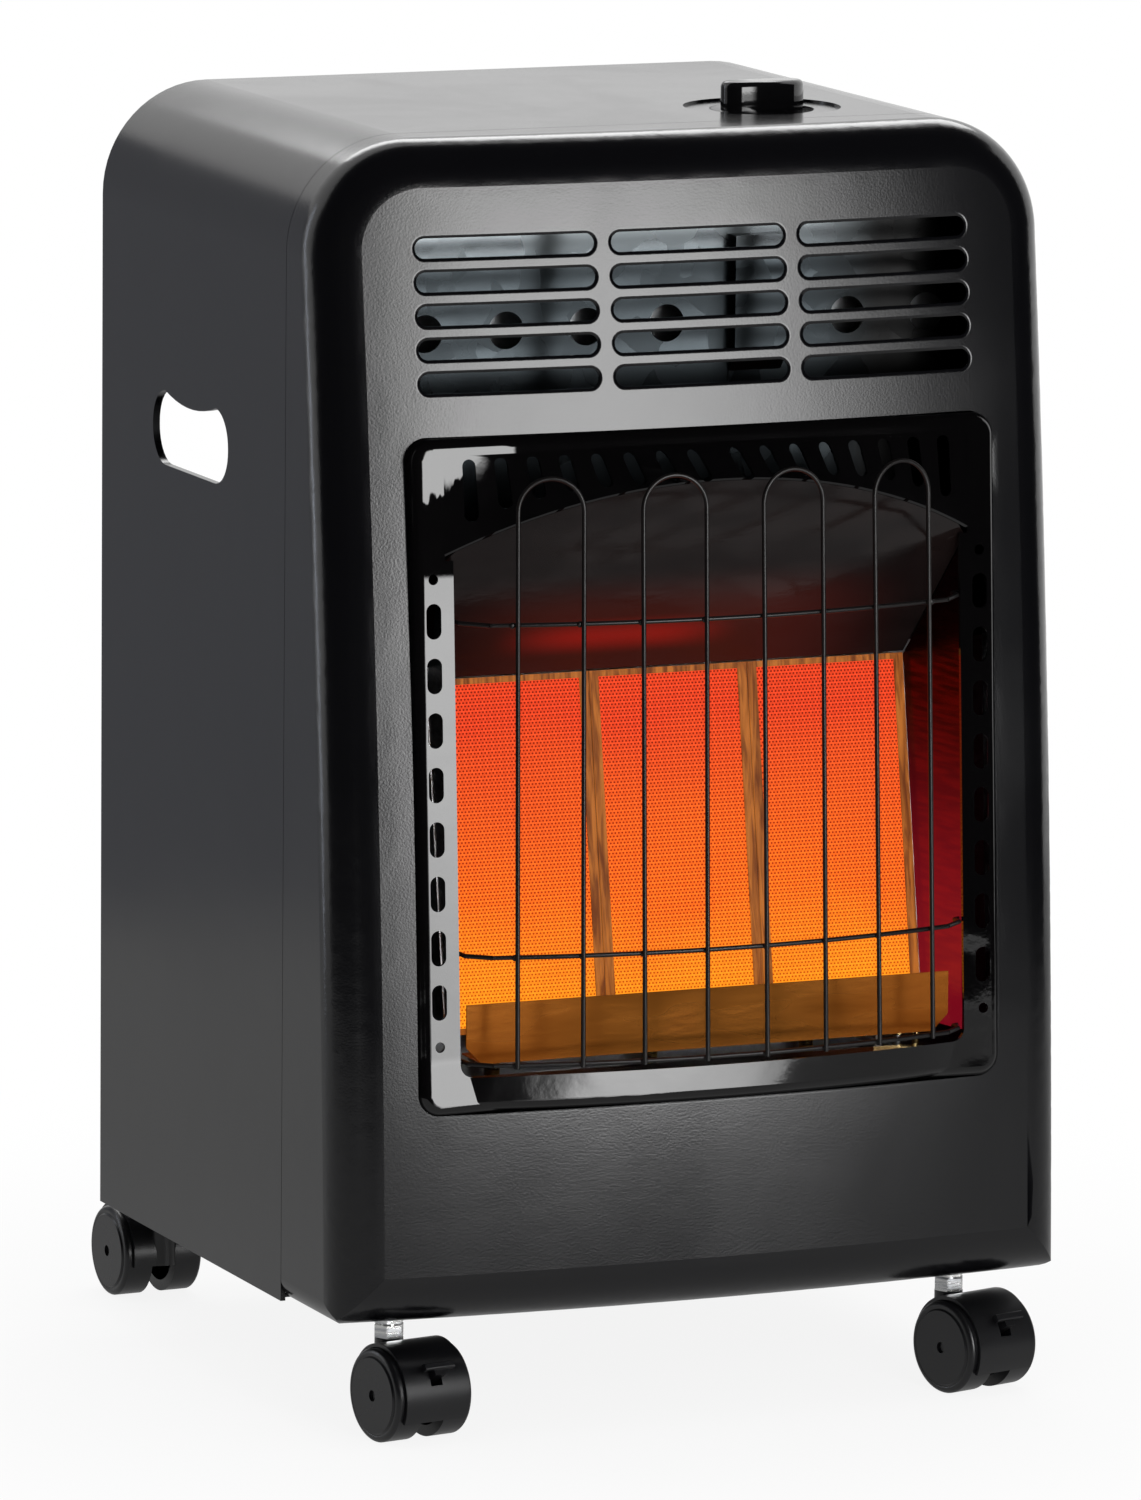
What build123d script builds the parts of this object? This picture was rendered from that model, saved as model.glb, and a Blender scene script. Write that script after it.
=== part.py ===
from build123d import *
import math
import os

# Cabinet propane heater on four brake casters: three infrared plaque burners behind a wire guard,
# in a folded steel cabinet that is open at the back for the gas cylinder.
# Millimetres.  X runs to the right, Y to the back, Z up.  Shapes are drawn with z = 0 at the
# cabinet's lower edge and are moved to the floor and to the middle of the footprint at the end.

# ---- cabinet ------------------------------------------------------------------------------
CABINET_WIDTH = 420.0
CABINET_HEIGHT = 620.0
CABINET_BACK = 162.5
CASTER_HEIGHT = 65.0
TOP_CORNER_RADIUS = 60.0
BOTTOM_CORNER_RADIUS = 12.0
SEAM_Y = -108.7
SEAM_GAP = 0.5
SHEET = 1.2
THIN_SHEET = 0.8
FIT_GAP = 0.3
SEAT_GAP = 0.05
OVERRUN = 1.0
LAP_DEPTH = 12.0
REAR_FLANGE = 14.0

# ---- bowed front panel ----------------------------------------------------------------------
FACE_Y = -208.6
FACE_Z = -147.0
FACE_RADIUS_Z = 5763.0
FACE_RADIUS_X = 1679.0
FACE_EDGE_RADIUS = 27.0
FACE_REACH = 80.0
VENT_COLUMNS = 3
VENT_ROWS = 5
VENT_LENGTH = 98.9
VENT_HEIGHT = 10.5
VENT_PITCH_X = 108.1
VENT_PITCH_Z = 17.5
VENT_DROP = 89.7
OPENING_HALF_WIDTH = 167.2
OPENING_BOTTOM = 112.7
OPENING_TOP = 467.7
OPENING_CORNER = 11.7
OPENING_FLANGE = 8.0

# ---- handle cut-outs in the sides ------------------------------------------------------------
HANDLE_CENTRE_Y = 29.5
HANDLE_LENGTH = 111.0
HANDLE_BOTTOM = 424.0
HANDLE_TOP = 464.5
HANDLE_END_RADIUS = 19.5
HANDLE_SAG = 5.5
HANDLE_SAG_RADIUS = 134.0
HANDLE_FLANGE = 4.0

# ---- bezel round the opening -----------------------------------------------------------------
BAND_Y = -197.9
BAND_Z = 150.0
BAND_LEAN = 3.36
BEZEL_WALL = 1.5
BEZEL_DEPTH = 16.0
BEZEL_SHOULDER = 5.4
BEZEL_LIP = 2.3
WINDOW_HALF_WIDTH = 145.3
WINDOW_BOTTOM = 133.0
WINDOW_CORNER = 7.0
SILL_HALF_WIDTH = 140.0
SILL_BOW = 14.0
SILL_ROUND = 6.0
BROW_TOP = 460.0
BROW_HALF_WIDTH = 155.0
BROW_TUCK = 5.0
BROW_SEAT = 0.4
LIP_Y = -208.0
LIP_Z = 444.5
LIP_DROP = 39.0
LIP_RECESS = 27.0
BROW_SLOTS = 8
BROW_SLOT_WIDTH = 7.3
BROW_SLOT_PITCH = 17.7
BROW_SLOT_FIRST = 12.0
BROW_SLOT_TOP = 457.0
BROW_SLOT_SHORT = 14.0
BROW_SLOT_GROWTH = 18.0
BAND_SLOTS = 8
BAND_SLOT_X = 156.7
BAND_SLOT_WIDTH = 8.4
BAND_SLOT_HEIGHT = 18.6
BAND_SLOT_PITCH = 28.55
BAND_SLOT_LOW = 173.5
BAND_HOLE_RADIUS = 2.75
BAND_HOLE_HEIGHTS = (150.0, 395.2)

# ---- burners ----------------------------------------------------------------------------------
BURNER_PITCH = 91.5
BURNER_WIDTH = 91.0
BURNER_TOP = 333.0
BURNER_BOTTOM = 148.0
BURNER_FACE_Y = -131.5
BURNER_FACE_Z = 330.0
BURNER_LEAN = 9.3
BURNER_DEPTH = 22.0
BURNER_WALL = 0.9
FRAME_SIDE = 5.2
FRAME_END = 3.3
PLAQUE_THICKNESS = 12.5
VENTURI_Y = -113.0
VENTURI_RADIUS = 10.0
VENTURI_WALL = 1.0
VENTURI_LENGTH = 150.0
VENTURI_BELOW = 18.0
CHEEK_FLANGE = 12.0

# ---- reflectors, shield and baffle --------------------------------------------------------------
REFLECTOR_FLARE = 0.215
REFLECTOR_TOP_MARGIN = 1.0
DEFLECTOR_HALF_WIDTH = 139.0
DEFLECTOR_TOP = 170.0
DEFLECTOR_BOTTOM = 138.0
DEFLECTOR_Y = -191.0
DEFLECTOR_CHAMFER = 9.0
SHIELD_Y = -101.0
SHIELD_FLANGE = 5.5
SHIELD_SLOTS = 5
SHIELD_SLOT_LENGTH = 44.0
SHIELD_SLOT_HEIGHT = 6.0
SHIELD_SLOT_PITCH = 62.0
SHIELD_SLOT_Z = 48.0
BAFFLE_Y = -126.0
BAFFLE_BOTTOM = 339.0
BAFFLE_FLANGE = 12.0
BAFFLE_HOLE_RADIUS = 10.0
BAFFLE_HOLE_DROP = 14.3
BAFFLE_HOLE_PITCH = 46.0
BAFFLE_HOLE_LEFT = -138.7
BAFFLE_HOLES_LEFT = 4
BAFFLE_HOLE_RIGHT = 104.0
BAFFLE_HOLES_RIGHT = 2
STRAP_X = 50.0
STRAP_WIDTH = 30.0
STRAP_BELOW = 50.3
STRAP_ABOVE = 31.7
STRAP_STEP = 9.0

# ---- wire guard -----------------------------------------------------------------------------------
WIRE_RADIUS = 1.25
GUARD_Y = -222.7
GUARD_Z = 280.0
GUARD_LEAN = 0.041
GUARD_BOW = 0.00101
HAIRPIN_CENTRES = (34.6, 102.5)
HAIRPIN_HALF = 17.5
HAIRPIN_TOP = 449.0
HAIRPIN_FOOT = 139.0
CROSS_WIRE_HEIGHTS = (140.5, 197.5, 372.0)
CROSS_WIRE_HALF = 131.0
CROSS_WIRE_SET = 2.35
HOOK_X = 143.0
HOOK_BEND = 1.75
HOOK_DEPTH = 6.0
HOOK_TAIL = 2.5

# ---- knob and gas valve --------------------------------------------------------------------------
KNOB_INSET = 123.7
KNOB_Y = -51.2
DISH_RADIUS = 42.4
DISH_DEPTH = 1.4
KNOB_RADIUS = 27.7
KNOB_GAP = 0.5
KNOB_SKIRT = 4.0
GRIP_LENGTH = 47.0
GRIP_WIDTH = 17.0
GRIP_HEIGHT = 15.5
GRIP_EDGE_RADIUS = 3.0
KNOB_HUB_RADIUS = 8.0
KNOB_HUB_LENGTH = 8.0
PUSH_TRAVEL = 4.5
SPINDLE_RADIUS = 4.0
SLEEVE_RADIUS = 7.0
SLIDE_CLEARANCE = 0.05
VALVE_WIDTH = 46.0
VALVE_DEPTH = 44.0
VALVE_DROP = 38.0
VALVE_HEIGHT = 52.0
VALVE_EDGE_RADIUS = 3.0
VALVE_BOSS_RADIUS = 12.0
VALVE_BOSS_HEIGHT = 8.0
SLEEVE_DROP = 21.0
SLEEVE_LENGTH = 27.0
BRACKET_HALF = 36.0
BRACKET_WIDTH = 34.0
BRACKET_FOOT = 12.0
INLET_RADIUS = 7.94
INLET_LENGTH = 16.0
INLET_BORE = 3.0
INLET_HEX = 17.0
INLET_HEX_LENGTH = 7.0
INLET_RISE = 18.0

# ---- gas lines and pilot ---------------------------------------------------------------------------
MANIFOLD_Z = 108.0
MANIFOLD_RADIUS = 7.0
MANIFOLD_OVERHANG = 14.0
MANIFOLD_TAB = 22.0
INJECTOR_RADIUS = 4.0
INJECTOR_LENGTH = 14.0
TUBE_BEND = 14.0
MAIN_TUBE_RADIUS = 4.0
MAIN_TUBE_OFFSET = 16.3
MAIN_TUBE_ENTRY = 21.5
MAIN_TUBE_Y = -88.0
MAIN_TUBE_BEND = 11.7
PILOT_TUBE_RADIUS = 2.0
PILOT_INSET = 19.25
PILOT_Y = -172.0
PILOT_TUBE_OUT = 8.7
PILOT_TUBE_Y = -92.0
PILOT_TUBE_Z = 124.0
PILOT_RADIUS = 4.5
PILOT_HEIGHT = 20.0
ROD_SPACING = 11.0
ROD_BELOW = 14.0
ELECTRODE_RADIUS = 1.6
THERMOCOUPLE_RADIUS = 2.0
SWITCH_INSET = 60.0
SWITCH_SIZE = (30.0, 22.0, 40.0)

# ---- base tray -----------------------------------------------------------------------------------
TRAY_SHEET = 1.5
TRAY_FRONT = -162.0
TRAY_BACK = 215.0
TRAY_REAR_INSET = 32.0
TRAY_REAR_CORNER = 26.0
TRAY_LIP = 18.0
CYLINDER_Y = 55.0
CYLINDER_RING_RADIUS = 108.0
CYLINDER_RING_HEIGHT = 3.0
CYLINDER_RING_WIDTH = 5.0

# ---- casters -----------------------------------------------------------------------------------
WHEEL_RADIUS = 25.0
WHEEL_INNER = 7.0
WHEEL_WIDTH = 17.0
WHEEL_EDGE = 1.8
WHEEL_DISC = 21.0
WHEEL_DISC_STEP = 0.9
HUB_RECESS_RADIUS = 19.0
HUB_RECESS_DEPTH = 9.0
AXLE_RADIUS = 3.0
AXLE_CLEARANCE = 0.05
AXLE_PROUD = 1.5
CASTER_TRAIL = 22.0
HOOD_RADIUS = 27.3
HOOD_WALL = 1.9
HOOD_WIDTH = 38.0
HOOD_WEB = 12.6
HOOD_LOW_TRAILING = 12.0
HOOD_LOW_LEADING = 5.0
COLLAR_RADIUS = 7.65
COLLAR_TOP = 50.0
STEM_RADIUS = 4.75
STEM_PIN_RADIUS = 3.95
STEM_PIN_BOTTOM = 29.0
STEM_ABOVE = 12.0
NUT_FLATS = 14.3
NUT_HEIGHT = 6.8
LEVER_ANGLE = 58.0
LEVER_TRAVEL = 18.0
LEVER_PIVOT_RADIUS = 17.0
LEVER_PIN_RADIUS = 2.0
LEVER_STALK = 7.0
LEVER_TREAD = 4.0
LEVER_WIDTH = 18.0
LEVER_REACH = 16.0
LEVER_SLOT = 0.4
FRONT_STEM_INSET = 46.75
FRONT_STEM_Y = -145.9
REAR_STEM_INSET = 48.0
REAR_STEM_Y = 191.5
CASTER_HEADINGS = {
    "front_left": 9.8,
    "front_right": 15.6,
    "rear_left": 183.1,
    "rear_right": 176.0,
}

# ---- derived -----------------------------------------------------------------------------------
HALF_WIDTH = CABINET_WIDTH / 2
FLOOR_Z = -CASTER_HEIGHT
LEAN_SLOPE = math.tan(math.radians(BAND_LEAN))
BURNER_SLOPE = math.tan(math.radians(BURNER_LEAN))
BURNER_LENGTH = (BURNER_TOP - BURNER_BOTTOM) / math.cos(math.radians(BURNER_LEAN))
BURNER_ROW_HALF = 1.5 * BURNER_PITCH
VENT_CENTRE_Z = CABINET_HEIGHT - VENT_DROP
BAFFLE_HOLE_Z = VENT_CENTRE_Z - BAFFLE_HOLE_DROP
STRAP_BOTTOM = VENT_CENTRE_Z - STRAP_BELOW
STRAP_TOP = VENT_CENTRE_Z + STRAP_ABOVE
KNOB_X = HALF_WIDTH - KNOB_INSET
VALVE_TOP = CABINET_HEIGHT - VALVE_DROP
VALVE_BOTTOM = VALVE_TOP - VALVE_HEIGHT
SLEEVE_TOP = CABINET_HEIGHT - SLEEVE_DROP
SLEEVE_BOTTOM = SLEEVE_TOP - SLEEVE_LENGTH
INLET_Z = VALVE_BOTTOM + INLET_RISE
MAIN_TUBE_X = BURNER_PITCH - MAIN_TUBE_ENTRY
PILOT_X = BURNER_ROW_HALF - PILOT_INSET
SWITCH_X = SWITCH_INSET - HALF_WIDTH
TRAY_REAR_HALF = HALF_WIDTH - TRAY_REAR_INSET
FRONT_STEM_X = HALF_WIDTH - FRONT_STEM_INSET
REAR_STEM_X = HALF_WIDTH - REAR_STEM_INSET
LIP_SLANT = math.hypot(LIP_DROP, LIP_RECESS)
LIP_RADIUS = (BROW_HALF_WIDTH**2 + LIP_SLANT**2) / (2 * LIP_SLANT)
WIDE = 2 * CABINET_WIDTH


def prism_x(sketch, left, right):
    """Extrude a sketch drawn in Y and Z from x = left to x = right."""
    return extrude(Plane.YZ.offset(left) * sketch, amount=right - left, dir=(1, 0, 0))


def prism_y(sketch, front, back):
    """Extrude a sketch drawn in X and Z from y = front to y = back."""
    return extrude(Plane.XZ.offset(-back) * sketch, amount=back - front, dir=(0, -1, 0))


def prism_z(sketch, bottom, top):
    """Extrude a sketch drawn in X and Y from z = bottom to z = top."""
    return extrude(Plane.XY.offset(bottom) * sketch, amount=top - bottom, dir=(0, 0, 1))


def block(x0, x1, y0, y1, z0, z1):
    return Pos((x0 + x1) / 2, (y0 + y1) / 2, (z0 + z1) / 2) * Box(x1 - x0, y1 - y0, z1 - z0)


def upright(x, y, bottom, top, radius):
    return Pos(x, y, (bottom + top) / 2) * Cylinder(radius, top - bottom)


def tube_along(points, radius, bend):
    """A bent tube, as a solid bar, through the given points."""
    path = FilletPolyline(*points, radius=bend)
    start = Plane(origin=path @ 0, z_dir=path % 0)
    return sweep(start * Circle(radius), path=path)


def band_y(z):
    """Front plane of the bezel's side bands."""
    return BAND_Y + LEAN_SLOPE * (z - BAND_Z)


def burner_y(z):
    """Front plane of the burners, which lean back toward the top."""
    return BURNER_FACE_Y + BURNER_SLOPE * (z - BURNER_FACE_Z)


def hood_y(z):
    """Plane of the hood, from the brow's lip down to the top of the burners."""
    return LIP_Y + (LIP_Z - z) * LIP_RECESS / LIP_DROP


def guard_y(x, z):
    """Bowed and slightly leaning surface that the guard's wires lie in."""
    return GUARD_Y + GUARD_BOW * x**2 + GUARD_LEAN * (z - GUARD_Z)


def reflector_x(y, z):
    """Inner face of the right side reflector."""
    return BURNER_ROW_HALF + REFLECTOR_FLARE * (burner_y(z) - y)


# ---- cabinet shell --------------------------------------------------------------------------------
def cabinet_outline(inset=0.0, drop=0.0, bottom_radius=0.0):
    """Front view of the cabinet, inset all round, with the lower edge drop lower."""
    low = inset - drop
    high = CABINET_HEIGHT - inset
    sketch = Pos(0, (low + high) / 2) * Rectangle(CABINET_WIDTH - 2 * inset, high - low)
    sketch = fillet(sketch.vertices().group_by(Axis.Y)[-1], TOP_CORNER_RADIUS - inset)
    if bottom_radius:
        sketch = fillet(sketch.vertices().group_by(Axis.Y)[0], bottom_radius)
    return sketch


def wall_band(inset, thickness, front, back):
    """Sides and top of the cabinet as one bent strip, open below."""
    outer = prism_y(cabinet_outline(inset, drop=inset), front, back)
    inner = prism_y(cabinet_outline(inset + thickness, drop=CABINET_WIDTH), front - OVERRUN, back + OVERRUN)
    return outer - inner


def handle_outline(grow=0.0):
    """Side view of the finger hole, whose upper edge sags toward the middle."""
    height = HANDLE_TOP - HANDLE_BOTTOM + 2 * grow
    centre_z = (HANDLE_TOP + HANDLE_BOTTOM) / 2
    hole = RectangleRounded(HANDLE_LENGTH + 2 * grow, height, HANDLE_END_RADIUS + grow)
    hole = Pos(HANDLE_CENTRE_Y, centre_z) * hole
    sag_centre = HANDLE_TOP - HANDLE_SAG + HANDLE_SAG_RADIUS
    return hole - Pos(HANDLE_CENTRE_Y, sag_centre) * Circle(HANDLE_SAG_RADIUS - grow)


def cabinet_wrap():
    shell = wall_band(0, SHEET, SEAM_Y + SEAM_GAP, CABINET_BACK)
    joggle = 2 * SHEET + FIT_GAP
    shell += wall_band(0, joggle, SEAM_Y + SEAM_GAP, SEAM_Y + SEAM_GAP + 2 * SHEET)
    lap = wall_band(SHEET + FIT_GAP, SHEET, SEAM_Y - LAP_DEPTH, SEAM_Y + SEAM_GAP + SHEET)
    shell += lap & block(-WIDE, WIDE, SEAM_Y - WIDE, CABINET_BACK, BOTTOM_CORNER_RADIUS, CABINET_HEIGHT)
    shell += wall_band(0, REAR_FLANGE, CABINET_BACK - SHEET, CABINET_BACK)
    for side in (-1, 1):
        wall = side * HALF_WIDTH
        inner = side * (HALF_WIDTH - HANDLE_FLANGE)
        shell += prism_x(handle_outline(SHEET), min(wall, inner), max(wall, inner))
        shell -= prism_x(handle_outline(), min(wall, inner) - OVERRUN, max(wall, inner) + OVERRUN)
    top = CABINET_HEIGHT
    dish_floor = top - DISH_DEPTH - SHEET
    shell += upright(KNOB_X, KNOB_Y, dish_floor, top - SHEET / 2, DISH_RADIUS + SHEET)
    shell -= upright(KNOB_X, KNOB_Y, top - DISH_DEPTH, top + OVERRUN, DISH_RADIUS)
    shell -= upright(KNOB_X, KNOB_Y, dish_floor - OVERRUN, top + OVERRUN, KNOB_RADIUS + KNOB_GAP)
    return shell


def front_body(setback):
    """Everything behind the doubly curved front skin, moved back by setback."""
    radius = FACE_RADIUS_Z - setback
    centre_y = FACE_Y + FACE_RADIUS_Z
    heights = (-FACE_REACH, CABINET_HEIGHT / 2, CABINET_HEIGHT + FACE_REACH)
    low, middle, high = ((centre_y - math.sqrt(radius**2 - (z - FACE_Z) ** 2), z) for z in heights)
    behind = SEAM_Y + FACE_REACH
    skin = ThreePointArc(low, middle, high)
    rest = Polyline(high, (behind, high[1]), (behind, low[1]), low)
    profile = Plane.YZ * make_face([skin, *rest.edges()])
    upright_axis = Axis((0, FACE_Y + FACE_RADIUS_X, 0), (0, 0, 1))
    spread = math.degrees(2 * CABINET_WIDTH / FACE_RADIUS_X)
    return revolve(profile.rotate(upright_axis, -spread / 2), upright_axis, spread)


def panel_form(inset, back):
    """Deep-drawn form of the front panel: bowed face, rounded edges, straight side walls."""
    form = prism_y(cabinet_outline(inset), FACE_Y - FACE_REACH, back) & front_body(inset)
    skin = form.faces().filter_by(GeomType.PLANE, reverse=True).sort_by(SortBy.AREA)[-1]
    form = fillet(skin.edges(), FACE_EDGE_RADIUS - inset)
    corners = cabinet_outline(inset, bottom_radius=BOTTOM_CORNER_RADIUS - inset)
    return form & prism_y(corners, FACE_Y - FACE_REACH, back)


def opening_outline(grow=0.0):
    width = 2 * (OPENING_HALF_WIDTH + grow)
    height = OPENING_TOP - OPENING_BOTTOM + 2 * grow
    outline = RectangleRounded(width, height, OPENING_CORNER + grow)
    return Pos(0, (OPENING_TOP + OPENING_BOTTOM) / 2) * outline


def front_panel():
    front = FACE_Y - FACE_REACH
    panel = panel_form(0, SEAM_Y) - panel_form(SHEET, SEAM_Y + OVERRUN)
    flange = prism_y(opening_outline(SHEET), front, SEAM_Y) & front_body(0)
    panel += flange - front_body(OPENING_FLANGE)
    panel -= prism_y(opening_outline(), front, SEAM_Y)
    vent = SlotOverall(VENT_LENGTH, VENT_HEIGHT)
    places = GridLocations(VENT_PITCH_X, VENT_PITCH_Z, VENT_COLUMNS, VENT_ROWS)
    vents = Sketch() + [Pos(0, VENT_CENTRE_Z) * place * vent for place in places]
    panel -= prism_y(vents, front, SEAM_Y - LAP_DEPTH)
    for side in (-1, 1):
        panel -= upright(side * FRONT_STEM_X, FRONT_STEM_Y, -1, 2 * SHEET, STEM_RADIUS + FIT_GAP)
    return panel


# ---- bezel, brow and hood ---------------------------------------------------------------------------
def hood_plane():
    """Leaning plane of the hood: x across, y down and back from the crown of the brow's lip."""
    down = (0, LIP_RECESS / LIP_SLANT, -LIP_DROP / LIP_SLANT)
    return Plane(origin=(0, LIP_Y, LIP_Z), x_dir=(1, 0, 0), z_dir=Vector(1, 0, 0).cross(Vector(down)))


def lip_strip(start, thickness):
    """Arched strip of the brow's lip, in the hood's plane."""
    outer = LIP_RADIUS - start
    inner = outer - thickness
    angle = math.asin(BROW_HALF_WIDTH / LIP_RADIUS)

    def at(radius, turn):
        return (radius * math.sin(turn), LIP_RADIUS - radius * math.cos(turn))

    top = ThreePointArc(at(outer, -angle), at(outer, 0), at(outer, angle))
    right = Line(at(outer, angle), at(inner, angle))
    bottom = ThreePointArc(at(inner, angle), at(inner, 0), at(inner, -angle))
    left = Line(at(inner, -angle), at(outer, -angle))
    return hood_plane() * make_face([top, right, bottom, left])


def brow_sheet():
    """Curved sheet that joins the top of the bezel to the arched lip."""
    edge = Plane(
        origin=(0, band_y(BROW_TOP) + BROW_SEAT, BROW_TOP),
        x_dir=(1, 0, 0),
        z_dir=Vector(1, 0, 0).cross(Vector(0, 1, -1)),
    )
    strip = edge * Pos(0, BEZEL_WALL / 2) * Rectangle(2 * BROW_HALF_WIDTH, BEZEL_WALL)
    return loft([strip, lip_strip(0, BEZEL_WALL)], ruled=True)


def bezel_form(inset):
    """Bezel as a full body: a flat raised frame with a sill bowed forward at the bottom."""
    low = OPENING_BOTTOM - 2 * OPENING_CORNER
    high = OPENING_TOP + 2 * OPENING_CORNER
    front = inset / math.cos(math.radians(BAND_LEAN))
    back = BEZEL_DEPTH
    side_view = Polygon(
        (band_y(low) + front, low),
        (band_y(high) + front, high),
        (band_y(high) + back, high),
        (band_y(low) + back, low),
        align=None,
    )
    frame = prism_y(opening_outline(-FIT_GAP - inset), 2 * BAND_Y, 0)
    frame &= prism_x(side_view, -WIDE, WIDE)
    front_and_back = frame.solids()[0].faces().sort_by(SortBy.AREA)[-2:]
    frame = fillet(front_and_back.sort_by(Axis.Y)[0].edges(), BEZEL_SHOULDER - inset)
    end_y = band_y(WINDOW_BOTTOM) + inset
    half = SILL_HALF_WIDTH - inset
    bow = ThreePointArc((-half, end_y), (0, end_y - SILL_BOW), (half, end_y))
    rear_y = end_y + SILL_ROUND
    chord = Polyline((half, end_y), (half, rear_y), (-half, rear_y), (-half, end_y))
    sill_low = OPENING_BOTTOM + FIT_GAP + inset + SHEET
    sill = prism_z(make_face([bow, *chord.edges()]), sill_low, WINDOW_BOTTOM - inset)
    bow_edges = sill.edges().filter_by(GeomType.CIRCLE).sort_by(Axis.Z)
    sill = fillet(bow_edges[:1], SILL_ROUND - inset)
    return frame + sill


def window_outline(grow=0.0):
    """Opening in the bezel's flat frame, below the arched lip."""
    top = LIP_Z - LIP_DROP
    half = WINDOW_HALF_WIDTH + grow
    low = WINDOW_BOTTOM - grow
    outline = Pos(0, (low + top) / 2) * Rectangle(2 * half, top - low)
    return fillet(outline.vertices().group_by(Axis.Y)[0], WINDOW_CORNER + grow)


def surround_bezel():
    outer = bezel_form(0)
    inner = bezel_form(BEZEL_WALL)
    front = 2 * BAND_Y
    lip_view = Polygon(
        (band_y(0) - SILL_BOW, 0),
        (band_y(CABINET_HEIGHT) - SILL_BOW, CABINET_HEIGHT),
        (band_y(CABINET_HEIGHT) + BEZEL_LIP, CABINET_HEIGHT),
        (band_y(0) + BEZEL_LIP, 0),
        align=None,
    )
    lip = prism_y(window_outline(BEZEL_WALL), front, 0) & prism_x(lip_view, -WIDE, WIDE)
    bezel = outer - (inner - lip)
    bezel -= prism_y(window_outline(), front, 0)
    brow_low = LIP_Z - LIP_DROP - OVERRUN
    half = BROW_HALF_WIDTH - BROW_TUCK
    cut_high = BROW_TOP - OVERRUN
    brow_cut = Pos(0, (brow_low + cut_high) / 2) * Rectangle(2 * half, cut_high - brow_low)
    bezel -= prism_y(brow_cut, front, 0)
    bezel += brow_sheet()
    for k in range(BROW_SLOTS):
        height = BROW_SLOT_SHORT + BROW_SLOT_GROWTH * (k / (BROW_SLOTS - 1)) ** 3
        slot = Rot(0, 0, 90) * SlotOverall(height, BROW_SLOT_WIDTH)
        for side in (-1, 1):
            x = side * (BROW_SLOT_FIRST + BROW_SLOT_PITCH * k)
            place = Pos(x, BROW_SLOT_TOP - height / 2)
            bezel -= prism_y(place * slot, front, band_y(BROW_TOP) + BEZEL_DEPTH)
    for side in (-1, 1):
        for k in range(BAND_SLOTS):
            slot = Rot(0, 0, 90) * SlotOverall(BAND_SLOT_HEIGHT, BAND_SLOT_WIDTH)
            place = Pos(side * BAND_SLOT_X, BAND_SLOT_LOW + k * BAND_SLOT_PITCH)
            bezel -= prism_y(place * slot, front, 0)
        for z in BAND_HOLE_HEIGHTS:
            bezel -= prism_y(Pos(side * BAND_SLOT_X, z) * Circle(BAND_HOLE_RADIUS), front, 0)
    return bezel


def hood_reflector():
    """Flat hood in the lip's plane, arched along the lip and narrowing to the burners."""
    radius = LIP_RADIUS - BEZEL_WALL - FIT_GAP
    angle = math.asin((WINDOW_HALF_WIDTH - FIT_GAP) / LIP_RADIUS)
    end = (radius * math.sin(angle), LIP_RADIUS - radius * math.cos(angle))
    crown = (0, BEZEL_WALL + FIT_GAP)
    corner_z = LIP_Z - LIP_DROP - BEZEL_LIP
    rear_z = BURNER_TOP + REFLECTOR_TOP_MARGIN
    side_points = [end]
    for z in (corner_z, rear_z):
        side_points.append((reflector_x(hood_y(z), z) - FIT_GAP, (LIP_Z - z) * LIP_SLANT / LIP_DROP))
    mirrored = [(-x, slant) for x, slant in reversed(side_points)]
    arch = ThreePointArc(mirrored[-1], crown, end)
    sides = Polyline(*side_points, *mirrored)
    plate = make_face([arch, *sides.edges()])
    return extrude(hood_plane() * plate, amount=THIN_SHEET, dir=hood_plane().z_dir)


def side_reflector(side):
    """Flat side sheet from the burners' edge out to the back of the bezel's band."""
    margin = REFLECTOR_TOP_MARGIN
    low = BURNER_BOTTOM - DEFLECTOR_CHAMFER
    front_low = band_y(low) + BEZEL_LIP + FIT_GAP
    top_z = (LIP_Z * LIP_RECESS / LIP_DROP + LIP_Y - BAND_Y + LEAN_SLOPE * BAND_Z - BEZEL_LIP) / (
        LEAN_SLOPE + LIP_RECESS / LIP_DROP
    )
    front_high_z = top_z - margin
    rear_z = BURNER_TOP - margin
    outline = Polygon(
        (burner_y(low), low),
        (front_low, low),
        (band_y(front_high_z) + BEZEL_LIP + FIT_GAP, front_high_z),
        (hood_y(rear_z) - margin, rear_z),
        (burner_y(rear_z), rear_z - margin),
        align=None,
    )
    normal = Vector(1, REFLECTOR_FLARE, -REFLECTOR_FLARE * BURNER_SLOPE)
    sheet_plane = Plane(origin=(BURNER_ROW_HALF, burner_y(rear_z), rear_z), z_dir=normal)
    sheet = extrude(sheet_plane * Rectangle(WIDE, WIDE), amount=THIN_SHEET)
    sheet &= prism_x(outline, 0, HALF_WIDTH)
    for z in CROSS_WIRE_HEIGHTS:
        hole_y = band_y(z) + HOOK_DEPTH
        sheet -= prism_x(Pos(hole_y, z) * Circle(WIRE_RADIUS + FIT_GAP), 0, HALF_WIDTH)
    return sheet if side > 0 else mirror(sheet, about=Plane.YZ)


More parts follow.
